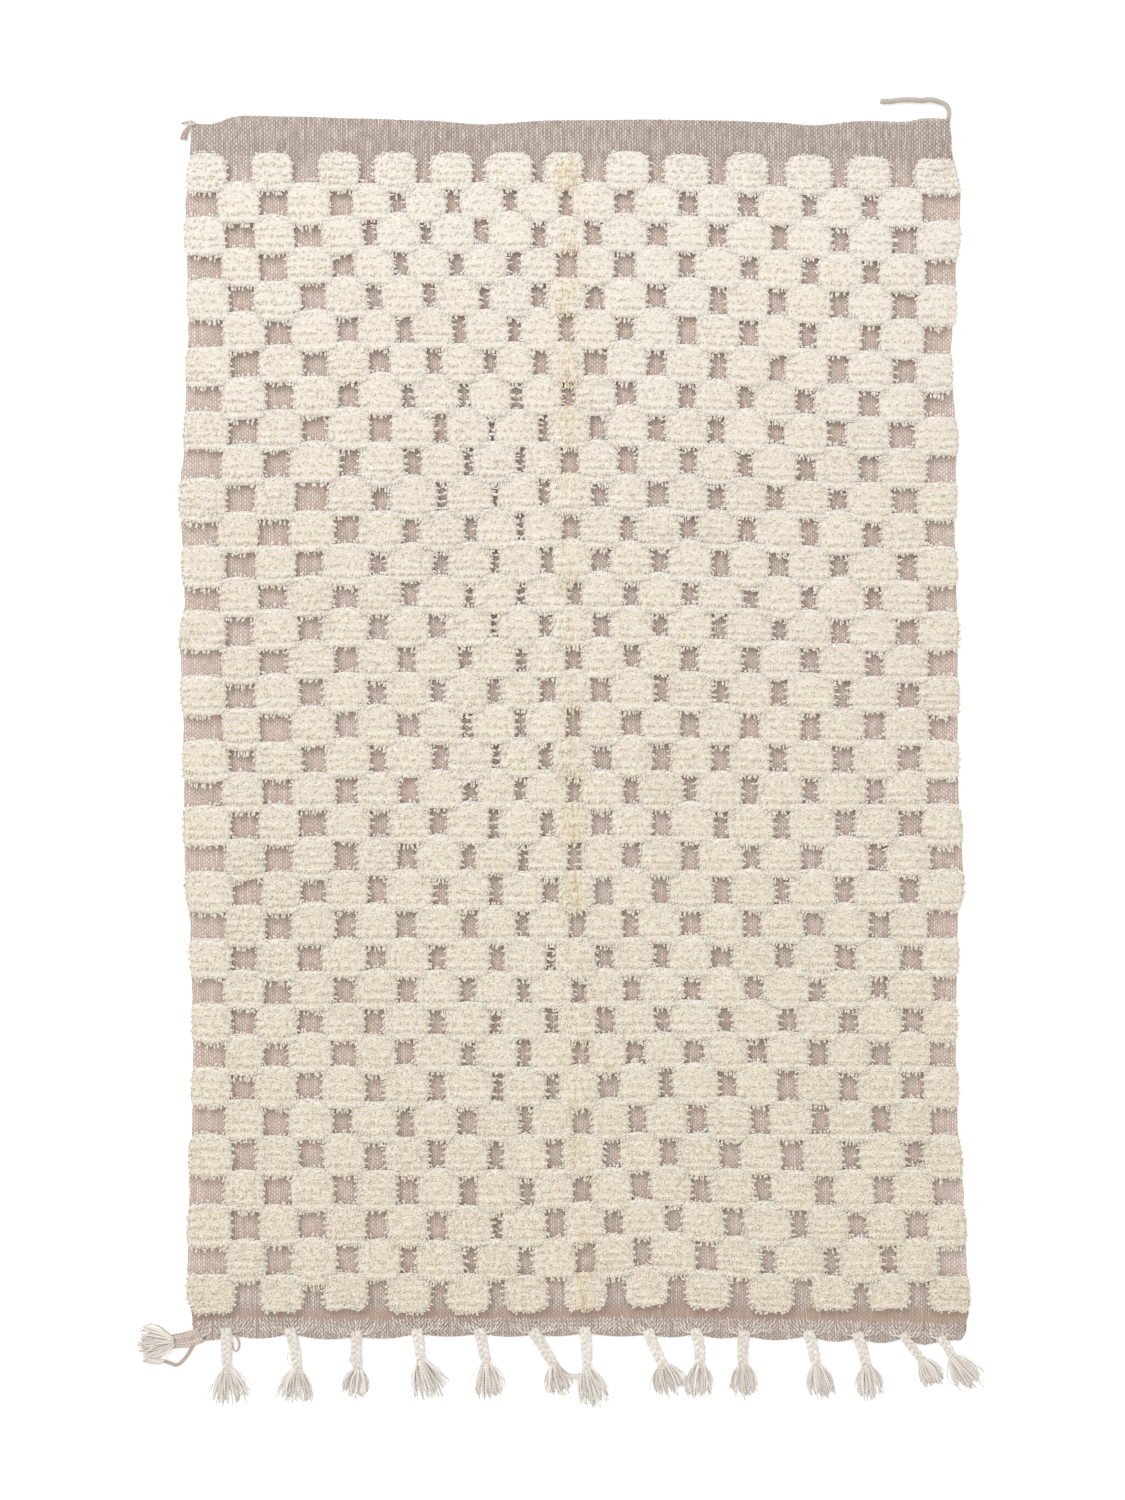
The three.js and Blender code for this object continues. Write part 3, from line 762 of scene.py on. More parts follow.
# %% [markdown]
# ## The weave
#
# The warps are ivory and grey and lie 5 mm apart. The weft is dyed mauve and packed down, so the warps show
# only as pale dots and, where they lie loose, as pale streaks along the rug. Each batch of dye is a little
# different, which gives the weft its faint bands. All of it is worked out from the place of the point on the
# cloth, and the same threads give the bump its height.

# %% The threads of the weave
WARP_PITCH = 5.0
PICK_PITCH = 4.4

weave = Shader("plain_weave", Roughness=0.92, Specular_IOR_Level=0.15, Sheen_Weight=0.15)
weave_x, weave_y, _ = weave.split(weave.place())
warp_turns = weave_x * (1 / (WARP_PITCH * MM)) + weave.grain(9.0, 1.0) * 1.6
pick_turns = weave_y * (1 / (PICK_PITCH * MM)) + weave.grain(14.0, 1.0) * 1.4
warp_wave = warp_turns.wave()
over = (warp_turns * 0.5).wave() * (pick_turns * 0.5).wave()
along_threads = weave.grain((330.0, 38.0, 1.0))
short_threads = weave.grain((330.0, 150.0, 1.0))
across_threads = weave.grain((45.0, 380.0, 1.0))
long_streak = weave.grain((190.0, 6.0, 1.0))
fine = weave.grain((480.0, 480.0, 1.0), 1.5)
dye_band = weave.grain((1.3, 34.0, 1.0), 2.5)
dye_patch = weave.grain(2.6)
thread_height = warp_wave * 0.25 + pick_turns.wave() * 0.2 + over * 0.45
thread_height = thread_height + along_threads + across_threads + fine
weave.feed("Normal", weave.bump(thread_height, 0.0006, 0.7))
print("threads ready")

# %% [markdown]
# The UV map tells the material which cell it is in. Between the blocks the warps show in shorter streaks, and
# the cloth there is painted paler than in the plain bands, to offset the shade that the pile casts around it.
# The top of each bare window gets a painted shadow under the overhanging pile. Cells of pile are the colour
# of their knots, in five lines, with painted shade between them for where the pile parts. A brown band of
# weft closes the checker at the hem.

# %% The colours of the weave
BAND_FADE = 0.7
KNOT_LINES = 5
SHORT_SHARE = 0.65

cell_u, cell_v, _ = weave.split(weave.node("ShaderNodeUVMap", {"uv_map": "cells"}))
in_checker = weave.within(cell_v, 0.0, ROWS, BAND_FADE, BAND_FADE)
weft_color = weave.mix(weave.spread(dye_band, 0.34, 0.66), srgb(182, 159, 148), srgb(166, 151, 137))
weft_color = weave.mix(weave.spread(dye_patch, 0.35, 0.65, 0.0, 0.6), weft_color, srgb(184, 167, 160))
weft_color = weave.tint(weft_color, weave.spread(across_threads, 0.3, 0.7, 0.78, 1.14))
warp_color = weave.mix(fine, srgb(226, 217, 208), srgb(250, 246, 240))
threads = along_threads * (1 - in_checker * SHORT_SHARE) + short_threads * in_checker * SHORT_SHARE
show = weave.spread(threads + fine * 0.6 + warp_wave * 0.14 + over * 0.2, 0.68, 1.06)
show = show * weave.spread(long_streak, 0.3, 0.68, 0.2, 1.0)
weave_color = weave.mix(show * (1.2 - in_checker * 0.5), weft_color, warp_color)
weave_color = weave.tint(weave_color, weave.spread(fine + along_threads * 0.5, 0.5, 0.95, 0.86, 1.06))
# Painted light: the cloth inside the checker is made paler than in the plain bands, to offset the shade that
# the pile casts into the windows.
weave_color = weave.tint(weave_color, weave.spread(in_checker, 0.0, 1.0, 0.81, 1.22))

cell_sum = (cell_u.math("FLOOR") + cell_v.math("FLOOR")) * 0.5
is_window = weave.spread(cell_sum.math("FRACT"), 0.2, 0.3)
on_rows = weave.within(cell_v, 0.15, ROWS - 0.2, 0.01, 0.01)
on_columns = weave.within(cell_u, -0.001, COLUMNS + 0.001, 0.001, 0.001)
# Painted shadow: the top of each bare window is darkened brown where the pile of the block above overhangs it.
painted_rim_shadow = weave.spread(cell_v.math("FRACT"), 0.16, 0.36, 1.0, 0.0) * is_window * in_checker
# The knots are cream. The darker ochre between their five lines is painted shade at the base of the pile,
# where it parts.
knot_line = weave.spread((cell_v * KNOT_LINES).wave(), -0.6, 0.5)
knot_color = weave.mix(knot_line, srgb(196, 172, 138), srgb(222, 208, 180))
weave_color = weave.layered(
    weave_color,
    (weave.within(cell_v, ROWS - 0.2, ROWS + 0.4, 0.2, 0.15) * 0.6, srgb(178, 150, 132)),
    (painted_rim_shadow * 0.15, srgb(172, 146, 126)),
    ((1 - is_window) * on_rows * on_columns, knot_color),
)
weave.feed("Base Color", weave_color)
finish(cloth, weave.material, "ground_yarn", "rug", "end_fringe")
print("weave done")

# %% [markdown]
# ## How a block of pile spreads
#
# A block has five or six rows of knots, and is brushed smoother near the head. The wool stands up from the
# cloth, and since cut ends take more room than knots do, it pushes outwards over the bare windows around it.
# Where the columns crowd together it spreads further, and at both selvedges it leans inwards. One function
# gives the place of the pile over any spot of its block, and both the bed and the locks below use it.

# %% The blocks and their traits
ROW_PITCH = 13.0
LOCK_PITCH = 4.3
SIDE_SPREAD = {
    "line": [0, 1, 3, 6, 8, 10, 12, 13.5, 15, 20, 23, 24, 25],
    "reach": [8, 3, 13.2, 16.8, 20, 22.2, 17, 13, 18, 18.6, 18, 3, 8],
}
END_SPREAD = {"head": 12.5, "hem": 11.0, "first_head": -4, "last_hem": -8}
UNEVEN = 3.4
INWARD_LEAN = {"left": 12, "right": 17}
FULLER = {"row": 13, "reach": 3, "more": 0.12}
SLACKER = {"from": 25, "to": 28, "less": 0.03}
BRUSHED_ROWS = 12

random = np.random.default_rng(20)


def block_plan(row, column):
    """The traits of one block: its rows of knots, how far its pile spreads and its shade."""
    middle = row_line(row + 0.5)
    width = float(column_line(column + 1, middle) - column_line(column, middle))
    height = float(row_line(row) - row_line(row + 1))
    left, right = read_table(SIDE_SPREAD, "line", "reach", [column, column + 1])
    fuller = 1 + FULLER["more"] * bell(row - FULLER["row"], FULLER["reach"])
    fuller = fuller - SLACKER["less"] * smooth_step(row, SLACKER["from"], SLACKER["to"])
    uneven = random.normal(0, UNEVEN, 4)
    last_column = COLUMNS - 1
    return {
        "row": row,
        "column": column,
        "ridges": int(np.clip(round(height / ROW_PITCH + random.uniform(-0.4, 0.4)), 5, 6)),
        "locks": int(round(width / LOCK_PITCH)),
        "left": left * fuller + uneven[0] * min(column, 1) + INWARD_LEAN["right"] * (column == last_column),
        "right": right * fuller + uneven[1] * (column < last_column) + INWARD_LEAN["left"] * (column == 0),
        "head": (END_SPREAD["head"] * fuller if row > 0 else END_SPREAD["first_head"]) + 0.9 * uneven[2],
        "hem": (END_SPREAD["hem"] * fuller if row < ROWS - 1 else END_SPREAD["last_hem"]) + uneven[3],
        "fold": float(bell(column - FOLD_COLUMN, 0.75)),
        "brushed": float(1 - smooth_step(row, 0, BRUSHED_ROWS)),
        "phase": random.uniform(0, 6),
        "tone": random.uniform(0, 1),
    }


checker = [(row, column) for row in range(ROWS) for column in range(COLUMNS) if (row + column) % 2 == 0]
blocks = [block_plan(row, column) for row, column in checker]
print("blocks", len(blocks), "rows of knots", sum(block["ridges"] for block in blocks))

# %% Where the pile over a spot lies
ROUNDING = 6
CORNER_FALL = 0.7
RIM_DROP = 2.2


def pile_place(block, s, t, share):
    """Where the pile over a spot lies. s and t go from -1 to 1 across and along, share from knot to tip."""
    across, along = on_plan(block["column"] + (s + 1) / 2, block["row"] + (t + 1) / 2)
    side = np.where(s < 0, block["left"], block["right"])
    out = np.sign(s) * np.abs(s) ** 1.4 * side * (1 - CORNER_FALL * np.abs(t) ** 4)
    rise = (1 - t) / 2 * block["head"] - (1 + t) / 2 * block["hem"]
    rise = rise * (1 - CORNER_FALL * np.abs(s) ** 4)
    to_head = (block["row"] == 0) * np.maximum(-t, 0) ** 3
    to_hem = (block["row"] == ROWS - 1) * np.maximum(t, 0) ** 3
    corner = ROUNDING * np.abs(s) ** 6 * (to_head - to_hem)
    return across - np.sign(s) * np.abs(corner) + share * out, along - corner + share * rise


def rim_drop(s, t):
    """How much lower the pile's top lies towards the rim of its block."""
    return RIM_DROP * np.maximum(np.abs(s) ** 4, np.abs(t) ** 4)


def painted_light_share(s, t):
    """How near a spot is to the sides and head of its block, from 0 to 1: the wool there gets a painted light.
    """
    return np.maximum(0.7 * np.abs(s) ** 5, np.maximum(-t, 0) ** 2)


print("widest spread in mm", round(max(block["left"] for block in blocks), 1))

# %% [markdown]
# ## The bed of the pile
#
# Packed wool is one soft mass, in ridges over its rows of knots with fine furrows between them. So each
# block gets a bed: a grid whose lines run along the crests and the furrows. All but its border is raised,
# and one face closes it below. It is modelled once for five rows and once for six, and each block takes a
# copy in its own shape. Numbers on its points, the attributes, carry the height in the pile and the shade.

# %% A bed as a small mesh
BED_LINES = np.array([-1, -1, -0.86, 0, 0.86, 1, 1])
BED_ACROSS = len(BED_LINES) - 1


def bed_template(ridges):
    """Points as lines across, lines along and level, and faces, of a bed with some rows of knots."""
    bed_along = 2 * ridges + 2
    bpy.ops.object.select_all(action="DESELECT")
    bpy.ops.mesh.primitive_grid_add(x_subdivisions=BED_ACROSS, y_subdivisions=bed_along, size=2)
    bed = bpy.context.object
    bpy.ops.object.mode_set(mode="EDIT")
    bpy.ops.mesh.select_all(action="DESELECT")
    bpy.ops.mesh.select_non_manifold()
    bpy.ops.mesh.select_all(action="INVERT")
    bpy.ops.transform.translate(value=(0, 0, 1))
    bpy.ops.mesh.select_all(action="DESELECT")
    bpy.ops.mesh.select_mode(type="EDGE")
    bpy.ops.mesh.select_non_manifold()
    bpy.ops.mesh.edge_face_add()
    bpy.ops.mesh.select_all(action="SELECT")
    bpy.ops.mesh.normals_make_consistent(inside=False)
    bpy.ops.mesh.select_mode(type="VERT")
    bpy.ops.object.mode_set(mode="OBJECT")
    points = read_points(bed)
    faces = [list(face.vertices) for face in bed.data.polygons]
    bpy.data.objects.remove(bed)
    lines_across = np.rint((points[:, 0] + 1) / 2 * BED_ACROSS).astype(int)
    lines_along = np.rint((1 - points[:, 1]) / 2 * bed_along)
    return lines_across, lines_along, points[:, 2] > 0.5, faces


templates = {ridges: bed_template(ridges) for ridges in (5, 6)}
print("faces of a bed", {ridges: len(template[-1]) for ridges, template in templates.items()})

# %% A bed for every block
PILE_TOP = 20.4
BED_BELOW_TIPS = 2.6
BED_SINK = 0.5
FURROW = 2.0
BED_ROUGHNESS = {"flat": 1.1, "height": 0.5}
FOLD_REACH = 24
CREST_TONE = 0.78
FURROW_SHADE = 0.42

bed_points, bed_faces, bed_traits = [], [], []
placed = 0
for block in blocks:
    lines_across, lines_along, raised, faces = templates[block["ridges"]]
    count = len(lines_across)
    s = BED_LINES[lines_across]
    t = np.clip((lines_along - 1) / block["ridges"] - 1, -1, 1)
    across, along = pile_place(block, s, t, np.where(raised, 0.8 + 0.2 * (s * t) ** 4, 0.6))
    across = across + np.where(raised, random.normal(0, BED_ROUGHNESS["flat"], count), 0)
    along = along + np.where(raised, random.normal(0, BED_ROUGHNESS["flat"], count), 0)
    crest = (lines_along % 2 == 0) | (np.abs(t) == 1)
    furrow = FURROW * (1 - 0.6 * block["fold"]) * (1 - 0.5 * block["brushed"])
    top = PILE_TOP - BED_BELOW_TIPS - rim_drop(s, t) - np.where(crest, 0, furrow)
    top = top + random.normal(0, BED_ROUGHNESS["height"], count)
    height = np.where(raised, top, CLOTH - BED_SINK) + fold_lift(across, along)
    bed_points.append(np.stack([across, along, height], 1))
    bed_faces += [[corner + placed for corner in face] for face in faces]
    placed += count
    # Painted shade: the furrows between the rows of knots take more of the ochre root colour than the crests
    # do.
    reach = np.where(crest, CREST_TONE, FURROW_SHADE + 0.2 * block["brushed"]) * raised
    warmth = bell(across - fold_line(along), FOLD_REACH)
    bed_traits.append([reach, np.full(count, 0.5), np.full(count, block["tone"]), warmth, painted_light_share(s, t)])

PILE_TRAITS = ("along", "tone", "block_tone", "warmth", "rim")
bed_numbers = [np.concatenate(trait) for trait in zip(*bed_traits)]
bed = mesh_object("pile_bed", np.concatenate(bed_points), bed_faces, dict(zip(PILE_TRAITS, bed_numbers)))
print("bed faces", len(bed.data.polygons))

# %% [markdown]
# ## The locks
#
# What one sees of the pile are the cut ends of the wool: soft blunt locks a few millimetres thick, which
# break up the ridges and hang over the rim of each block as a ragged fringe. A lock is modelled once: a
# ring, drawn up and swollen, then closed in a blunt end. There are tens of thousands, so it has few faces,
# and the copies are laid out with array arithmetic. Extruding gives the side faces in no fixed order, so they
# are sorted, which makes the mesh the same in every run.

# %% The lock as a small mesh
LOCK_SIDES = 4
LOCK_NECK = 0.74
LOCK_SWELL_HEIGHT = 0.78
LOCK_SWELL = 1.35

bpy.ops.object.select_all(action="DESELECT")
bpy.ops.mesh.primitive_circle_add(vertices=LOCK_SIDES, radius=LOCK_NECK, fill_type="NGON")
lock = bpy.context.object
bpy.ops.object.mode_set(mode="EDIT")
bpy.ops.mesh.select_all(action="SELECT")
bpy.ops.mesh.extrude_region_move(TRANSFORM_OT_translate={"value": (0, 0, LOCK_SWELL_HEIGHT)})
bpy.ops.transform.resize(value=(LOCK_SWELL, LOCK_SWELL, 1))
bpy.ops.mesh.extrude_region_move(TRANSFORM_OT_translate={"value": (0, 0, 1 - LOCK_SWELL_HEIGHT)})
bpy.ops.mesh.merge(type="CENTER")
bpy.ops.mesh.select_all(action="SELECT")
bpy.ops.mesh.normals_make_consistent(inside=False)
bpy.ops.object.mode_set(mode="OBJECT")
lock_points = read_points(lock)
lock_faces = sorted(list(face.vertices) for face in lock.data.polygons)
bpy.data.objects.remove(lock)
print("lock", len(lock_points), "points", len(lock_faces), "faces")

# %% [markdown]
# Most locks stand on the crest of their row, and a few more along the rim of the block. A lock's tip goes
# to where the pile lies there, a little further and unevenly so at the rim. Most of them lean towards the
# hem, as knots do. Along the old fold the pile parts lengthwise, in two or three furrows to a block.

# %% Where every lock stands and where it leans
LOCK_SINK = 3.4
LOCK_GIRTH = (3.0, 2.6)
LOCK_TOP_BELOW = 1.1
ROOT_SHARE = 0.66
RIM_LOCKS = {"side": 2, "hem": 12, "head": 9, "thinner": 0.85}
SHINGLE = {"root": 1.5, "tip": -3.5, "at_side": 0.35}
RAGGED = {"hem": 3.5, "head": 3}
SCATTER = {"across": 0.8, "along": 0.5, "side": 0.035, "tip_x": 1.4, "tip_y": 1.5, "top": 0.4, "girth": 0.14}
TIP_REACH = {"rim": 1.04, "inner": 0.96}
REACH_SCATTER = {"rim": 0.14, "inner": 0.1}
PARTING = {"half_waves": 2.5, "across": 3.6, "along": 7}


def middles(count):
    """The middles of equal shares of the way from -1 to 1."""
    return (2 * np.arange(count) + 1) / count - 1


def lock_spots(block):
    """The spots where a block's locks stand, and which of them are at its rim."""
    crests = middles(block["ridges"])
    t, s = np.meshgrid(crests, middles(block["locks"]), indexing="ij")
    inner = s.size
    s = np.clip(1.03 * s.ravel() + random.normal(0, SCATTER["across"] / block["locks"], inner), -1, 1)
    off_crest = random.uniform(-SCATTER["along"], SCATTER["along"], inner) / block["ridges"]
    t = np.clip(1.06 * t.ravel() + off_crest, -1, 1)
    side_t = np.tile(np.repeat(crests, RIM_LOCKS["side"]), 2)
    side_t = side_t + random.normal(0, SCATTER["side"], len(side_t))
    side_s = np.repeat([-1.0, 1.0], len(side_t) // 2)
    end_t = np.repeat([1.0, -1.0], [RIM_LOCKS["hem"], RIM_LOCKS["head"]])
    end_s = random.uniform(-0.98, 0.98, len(end_t))
    s = np.concatenate([s, side_s, end_s])
    return s, np.concatenate([t, side_t, end_t]), np.arange(len(s)) >= inner


def block_locks(block):
    """The roots, leans, girths and traits of one block's locks, in millimetres."""
    s, t, at_rim = lock_spots(block)
    count = len(s)
    at_hem = at_rim & (t == 1)
    at_head = at_rim & (t == -1)
    root_x, root_y = pile_place(block, s, t, ROOT_SHARE)
    usual = np.where(at_rim, TIP_REACH["rim"], TIP_REACH["inner"])
    scatter = np.where(at_rim, REACH_SCATTER["rim"], REACH_SCATTER["inner"])
    reach = np.clip(random.normal(usual, scatter), 0.6, 1.5)
    tip_x, tip_y = pile_place(block, s, t, reach)
    tip_x = tip_x + random.normal(0, SCATTER["tip_x"], count)
    down = np.select([at_head, at_rim & ~at_hem], [0.0, SHINGLE["at_side"]], 1.0)
    root_y = root_y + SHINGLE["root"] * down
    tip_y = tip_y + random.normal(0, SCATTER["tip_y"], count) + SHINGLE["tip"] * down
    tip_y = tip_y - random.uniform(0, RAGGED["hem"], count) * at_hem
    tip_y = tip_y + random.uniform(0, RAGGED["head"], count) * at_head
    if block["fold"] > 0.1:
        parts = np.sin(s * np.pi * PARTING["half_waves"] + block["phase"])
        tip_x = tip_x + block["fold"] * PARTING["across"] * parts
        tip_y = tip_y - block["fold"] * random.uniform(0, PARTING["along"], count)
    drop = rim_drop(s, t)
    lift = fold_lift(root_x, root_y)
    top = PILE_TOP - LOCK_TOP_BELOW - drop * np.clip(reach, 0.6, 1.4)
    top = top + random.normal(0, SCATTER["top"], count)
    low = PILE_TOP - BED_BELOW_TIPS - LOCK_SINK + lift - 0.7 * drop
    root = np.stack([root_x, root_y, low], 1)
    tip = np.stack([tip_x, tip_y, top + lift], 1)
    thinner = np.where(at_rim, RIM_LOCKS["thinner"], 1)[:, None]
    girth = np.array(LOCK_GIRTH) * random.normal(1, SCATTER["girth"], (count, 1)) * thinner
    tone = random.uniform(0, 1, count)
    warmth = bell(root_x - fold_line(root_y), FOLD_REACH)
    return root, tip - root, girth, tone, np.full(count, block["tone"]), warmth, painted_light_share(s, t)


locks = [block_locks(block) for block in blocks]
print("locks", sum(len(traits[0]) for traits in locks))

# %% [markdown]
# A lock bends: it rises first and leans more towards its end. Its rings are therefore set on a curved line
# and turned square to the way it leans. Some rows of blocks at a time become one mesh, small enough to
# handle.

# %% The locks as meshes of a few rows each
ROWS_PER_PIECE = 6


def lock_mesh(name, rows):
    """All the locks of some rows of blocks, as one mesh."""
    chosen = [traits for block, traits in zip(blocks, locks) if block["row"] in rows]
    root, lean, girth, tone, *others = (np.concatenate(trait) for trait in zip(*chosen))
    along = lock_points[:, 2]
    bent = np.stack([along, along, 1 - (1 - along) ** 1.5], 1)
    spine = root[:, None] + lean[:, None] * bent
    straight = lean / np.linalg.norm(lean, axis=1, keepdims=True)
    side = np.cross((0.0, 1.0, 0.0), straight)
    side /= np.linalg.norm(side, axis=1, keepdims=True)
    front = np.cross(straight, side)
    sine, cosine = np.sin(tone * TURN)[:, None], np.cos(tone * TURN)[:, None]
    turned_x = lock_points[:, 0] * cosine - lock_points[:, 1] * sine
    turned_y = lock_points[:, 0] * sine + lock_points[:, 1] * cosine
    points = spine + (girth[:, :1] * turned_x)[..., None] * side[:, None]
    points = points + (girth[:, 1:] * turned_y)[..., None] * front[:, None]
    each = len(lock_points)
    reach = np.tile(0.35 + 0.65 * along, len(root))
    numbers = [reach, *(np.repeat(trait, each) for trait in (tone, *others))]
    faces = repeated_faces(lock_faces, len(root), each)
    return mesh_object(name, points.reshape(-1, 3), faces, dict(zip(PILE_TRAITS, numbers)))


pile_pieces = [bed]
for first in range(0, ROWS, ROWS_PER_PIECE):
    rows = range(first, min(first + ROWS_PER_PIECE, ROWS))
    pile_pieces.append(lock_mesh(f"pile_rows_{first:02d}_to_{rows[-1]:02d}", rows))
print("pile pieces", len(pile_pieces), "largest", max(len(piece.data.polygons) for piece in pile_pieces))

# %% [markdown]
# ## The wool
#
# Undyed wool is cream at the cut tips, where it is brushed open and pale, and ochre at the roots, where it
# is dense, shaded and keeps its grease. The `along` attribute carries that change. Each tuft and each block
# is a little lighter or yellower than the next, and on the fold, where the pile parts, more of the ochre
# shows. Towards the hem the pile has more dark dashes and specks between its locks.

# %% The wool's material
wool = Shader("cream_wool", Roughness=0.95, Specular_IOR_Level=0.1, Sheen_Weight=0.25, Sheen_Roughness=0.6)
tone = wool.attribute("tone")
warmth = wool.attribute("warmth")
along_rug = wool.split(wool.place())[1]
nearer_hem = wool.spread(along_rug, -1.2, 1.2, 1.0, 0.36)
fibre = wool.grain(620.0, 2.0, 0.6)
clumps = wool.grain((330.0, 210.0, 260.0))
dashes = wool.grain((110.0, 330.0, 1.0), 1.0)
specks = wool.grain((270.0, 270.0, 1.0), 1.0)
# Along the fold the wool is streaked with ochre and warmer at its tips. This is partly the roots' own colour
# showing where the pile parts, and partly painted shade inside the parting.
fold_patches = wool.spread(wool.grain(13.0, 1.0), 0.4, 0.6)
partings = wool.spread(wool.grain((210.0, 26.0, 1.0), 1.5), 0.5, 0.64) * wool.spread(warmth, 0.3, 1.0)
partings = partings * wool.spread(fold_patches, 0.0, 1.0, 0.3, 1.0)

root_color = wool.mix(tone, srgb(218, 204, 180), srgb(228, 216, 194))
tip_color = wool.layered(
    wool.mix(tone, srgb(228, 220, 208), srgb(250, 246, 240)),
    (wool.spread(wool.grain(3.1), 0.35, 0.68, 0.0, 0.5), srgb(240, 233, 219)),
    (wool.attribute("block_tone") * 0.3, srgb(239, 231, 216)),
    (wool.spread(along_rug, -1.3, 0.6, 0.35, 0.0), srgb(236, 226, 203)),
    # Painted light: the sides and head of each block are painted paler and cooler, as if lit from above.
    (wool.attribute("rim") * 0.6, srgb(240, 236, 231)),
    (warmth * fold_patches * 0.45, srgb(241, 230, 206)),
)
wool_color = wool.mix(wool.spread(wool.attribute("along"), 0.15, 0.75), root_color, tip_color)
wool_color = wool.layered(
    wool.tint(wool_color, wool.spread(clumps, 0.3, 0.7, 0.9, 1.06)),
    (partings * 0.85, srgb(212, 186, 142)),
    (wool.spread(dashes, 0.57, 0.68) * nearer_hem, srgb(210, 194, 158)),
    (wool.spread(specks, 0.55, 0.68) * nearer_hem, srgb(190, 173, 144)),
)
wool.feed("Base Color", wool.tint(wool_color, wool.spread(fibre, 0.3, 0.7, 0.96, 1.03)))
wool.feed("Normal", wool.bump(clumps * 1.6 + fibre, 0.0011, 0.7))
for piece in pile_pieces:
    finish(piece, wool.material, "wool", "rug")
print("wool on", len(pile_pieces), "pieces")

# %% [markdown]
# ## The braids
#
# Each braid is a plait of three: every strand swings from side to side, and dips under the others twice for
# each swing, a third of a turn after its neighbour. The three lines follow the braid's own line from its
# root in the hem down to the floor. The first tail, at the left corner, was never plaited and comes later.

# %% Plaits
PLAIT = {"period": 37.0, "swing": 7.8, "dip": 1.7, "girth": 5.2, "steps": 30, "sides": 8, "clear": 0.3}
PLAIT_BOW = {"reach": 2.6, "pace": 3.7}
ROOT_INSIDE = 3.0
ON_CLOTH = 2.6
SLIM_BRAIDS = (13, 14)
SLIM = 0.8


def braid_ends(number):
    """Where a braid leaves the hem, where it opens and where its tassel ends."""
    ends = ("root", "fray", "tip")
    return [np.array([BRAIDS[end + "_x"][number], BRAIDS[end + "_y"][number]], float) for end in ends]


plait_lines, plait_girths, plait_tones = [], [], []
share = np.linspace(-0.1, 1.04, PLAIT["steps"])
on_cloth = ON_CLOTH * (1 - smooth_step(share, -0.1, 0.25))
for number in range(1, BRAID_COUNT):
    root, fray, _ = braid_ends(number)
    length = np.linalg.norm(fray - root)
    inside = root + (0, ROOT_INSIDE)
    run = fray - inside
    bow = PLAIT_BOW["reach"] * np.sin(PLAIT_BOW["pace"] * number) * np.sin(np.pi * share)
    neck = (1 - 0.22 * smooth_step(share, 0.6, 1.0)) * (SLIM if number in SLIM_BRAIDS else 1.0)
    for strand in range(3):
        turn = (share * length / PLAIT["period"] + strand / 3) * TURN + number
        aside = PLAIT["swing"] * neck * np.sin(turn) + bow
        flat = inside + run * share[:, None] + left_of(run) * aside[:, None]
        lift = PLAIT["girth"] + PLAIT["clear"] + PLAIT["dip"] * (1 + np.sin(2 * turn))
        plait_lines.append(np.column_stack([flat, lift * neck + on_cloth]))
        plait_girths.append(PLAIT["girth"] * neck * (1 + 0.04 * np.sin(5 * turn)))
        plait_tones.append(random.uniform(0.4, 1))
plaits = yarn_mesh("braids", plait_lines, plait_girths, PLAIT["sides"], plait_tones)
finish(plaits, plait_yarn, "warp_yarn", "end_fringe")
print("plait strands", len(plait_lines))

# %% [markdown]
# Below its plait each braid opens into single strands of warp yarn. Thick ones keep together in a few
# bunches and make the body of the tassel, and thin ones stray from them. All of them sag to the floor and
# curl a little.

# %% Frayed ends
THICK_FRAY = {"count": 16, "girth": 2.3, "steps": 7, "sides": 5, "stray": 0.07, "curl": 3.0}
THIN_FRAY = {"count": 44, "girth": 0.85, "steps": 7, "sides": 4, "stray": 0.12, "curl": 5.0}
BUNCHES = (-0.45, -0.18, 0.12, 0.42)
BUNCH_ROOT = {"inside": 9, "apart": 16, "widest": 7}


def frayed_fan(number, kind):
    """The loose strands of one braid, as lines and girths."""
    root, fray, tip = braid_ends(number)
    run = tip - fray
    left = left_of(run)
    inward = (root - fray) / np.linalg.norm(root - fray)
    steps = np.linspace(0, 1, kind["steps"])
    lines = []
    for strand in range(kind["count"]):
        bunch = BUNCHES[strand % len(BUNCHES)] + random.normal(0, kind["stray"])
        far = (1 - 0.5 * bunch * bunch) * random.normal(0.97, 0.11)
        aside = np.clip(bunch * BUNCH_ROOT["apart"], -BUNCH_ROOT["widest"], BUNCH_ROOT["widest"])
        start = fray + inward * BUNCH_ROOT["inside"] + left * aside
        end = fray + run * far + left * bunch * BRAIDS["spread"][number] * random.normal(1.0, 0.1)
        curl = random.normal(0, kind["curl"]) + bunch * 8
        flat = start + (end - start) * steps[:, None] + left * (curl * np.sin(np.pi * steps))[:, None]
        layer = random.uniform(0, 1)
        height = kind["girth"] + 0.1 + (4.0 + 4.5 * layer) * (1 - smooth_step(steps, 0.0, 0.8))
        height = height + 1.6 * layer * np.sin(np.pi * steps)
        lines.append(np.column_stack([flat, height]))
    return lines, [kind["girth"] * (1 - 0.5 * steps**3)] * kind["count"]


def bundle(name, groups, sides, material, slot, node):
    """One piece from several groups of lines and girths, each line with a shade of its own."""
    lines = [line for group, _ in groups for line in group]
    girths = [girth for _, group in groups for girth in group]
    piece = yarn_mesh(name, lines, girths, sides, random.uniform(0, 1, len(lines)))
    return finish(piece, material, slot, node)


for name, kind in (("frayed_bunches", THICK_FRAY), ("frayed_wisps", THIN_FRAY)):
    fans = [frayed_fan(number, kind) for number in range(BRAID_COUNT)]
    bundle(name, fans, kind["sides"], warp_yarn, "warp_yarn", "end_fringe")

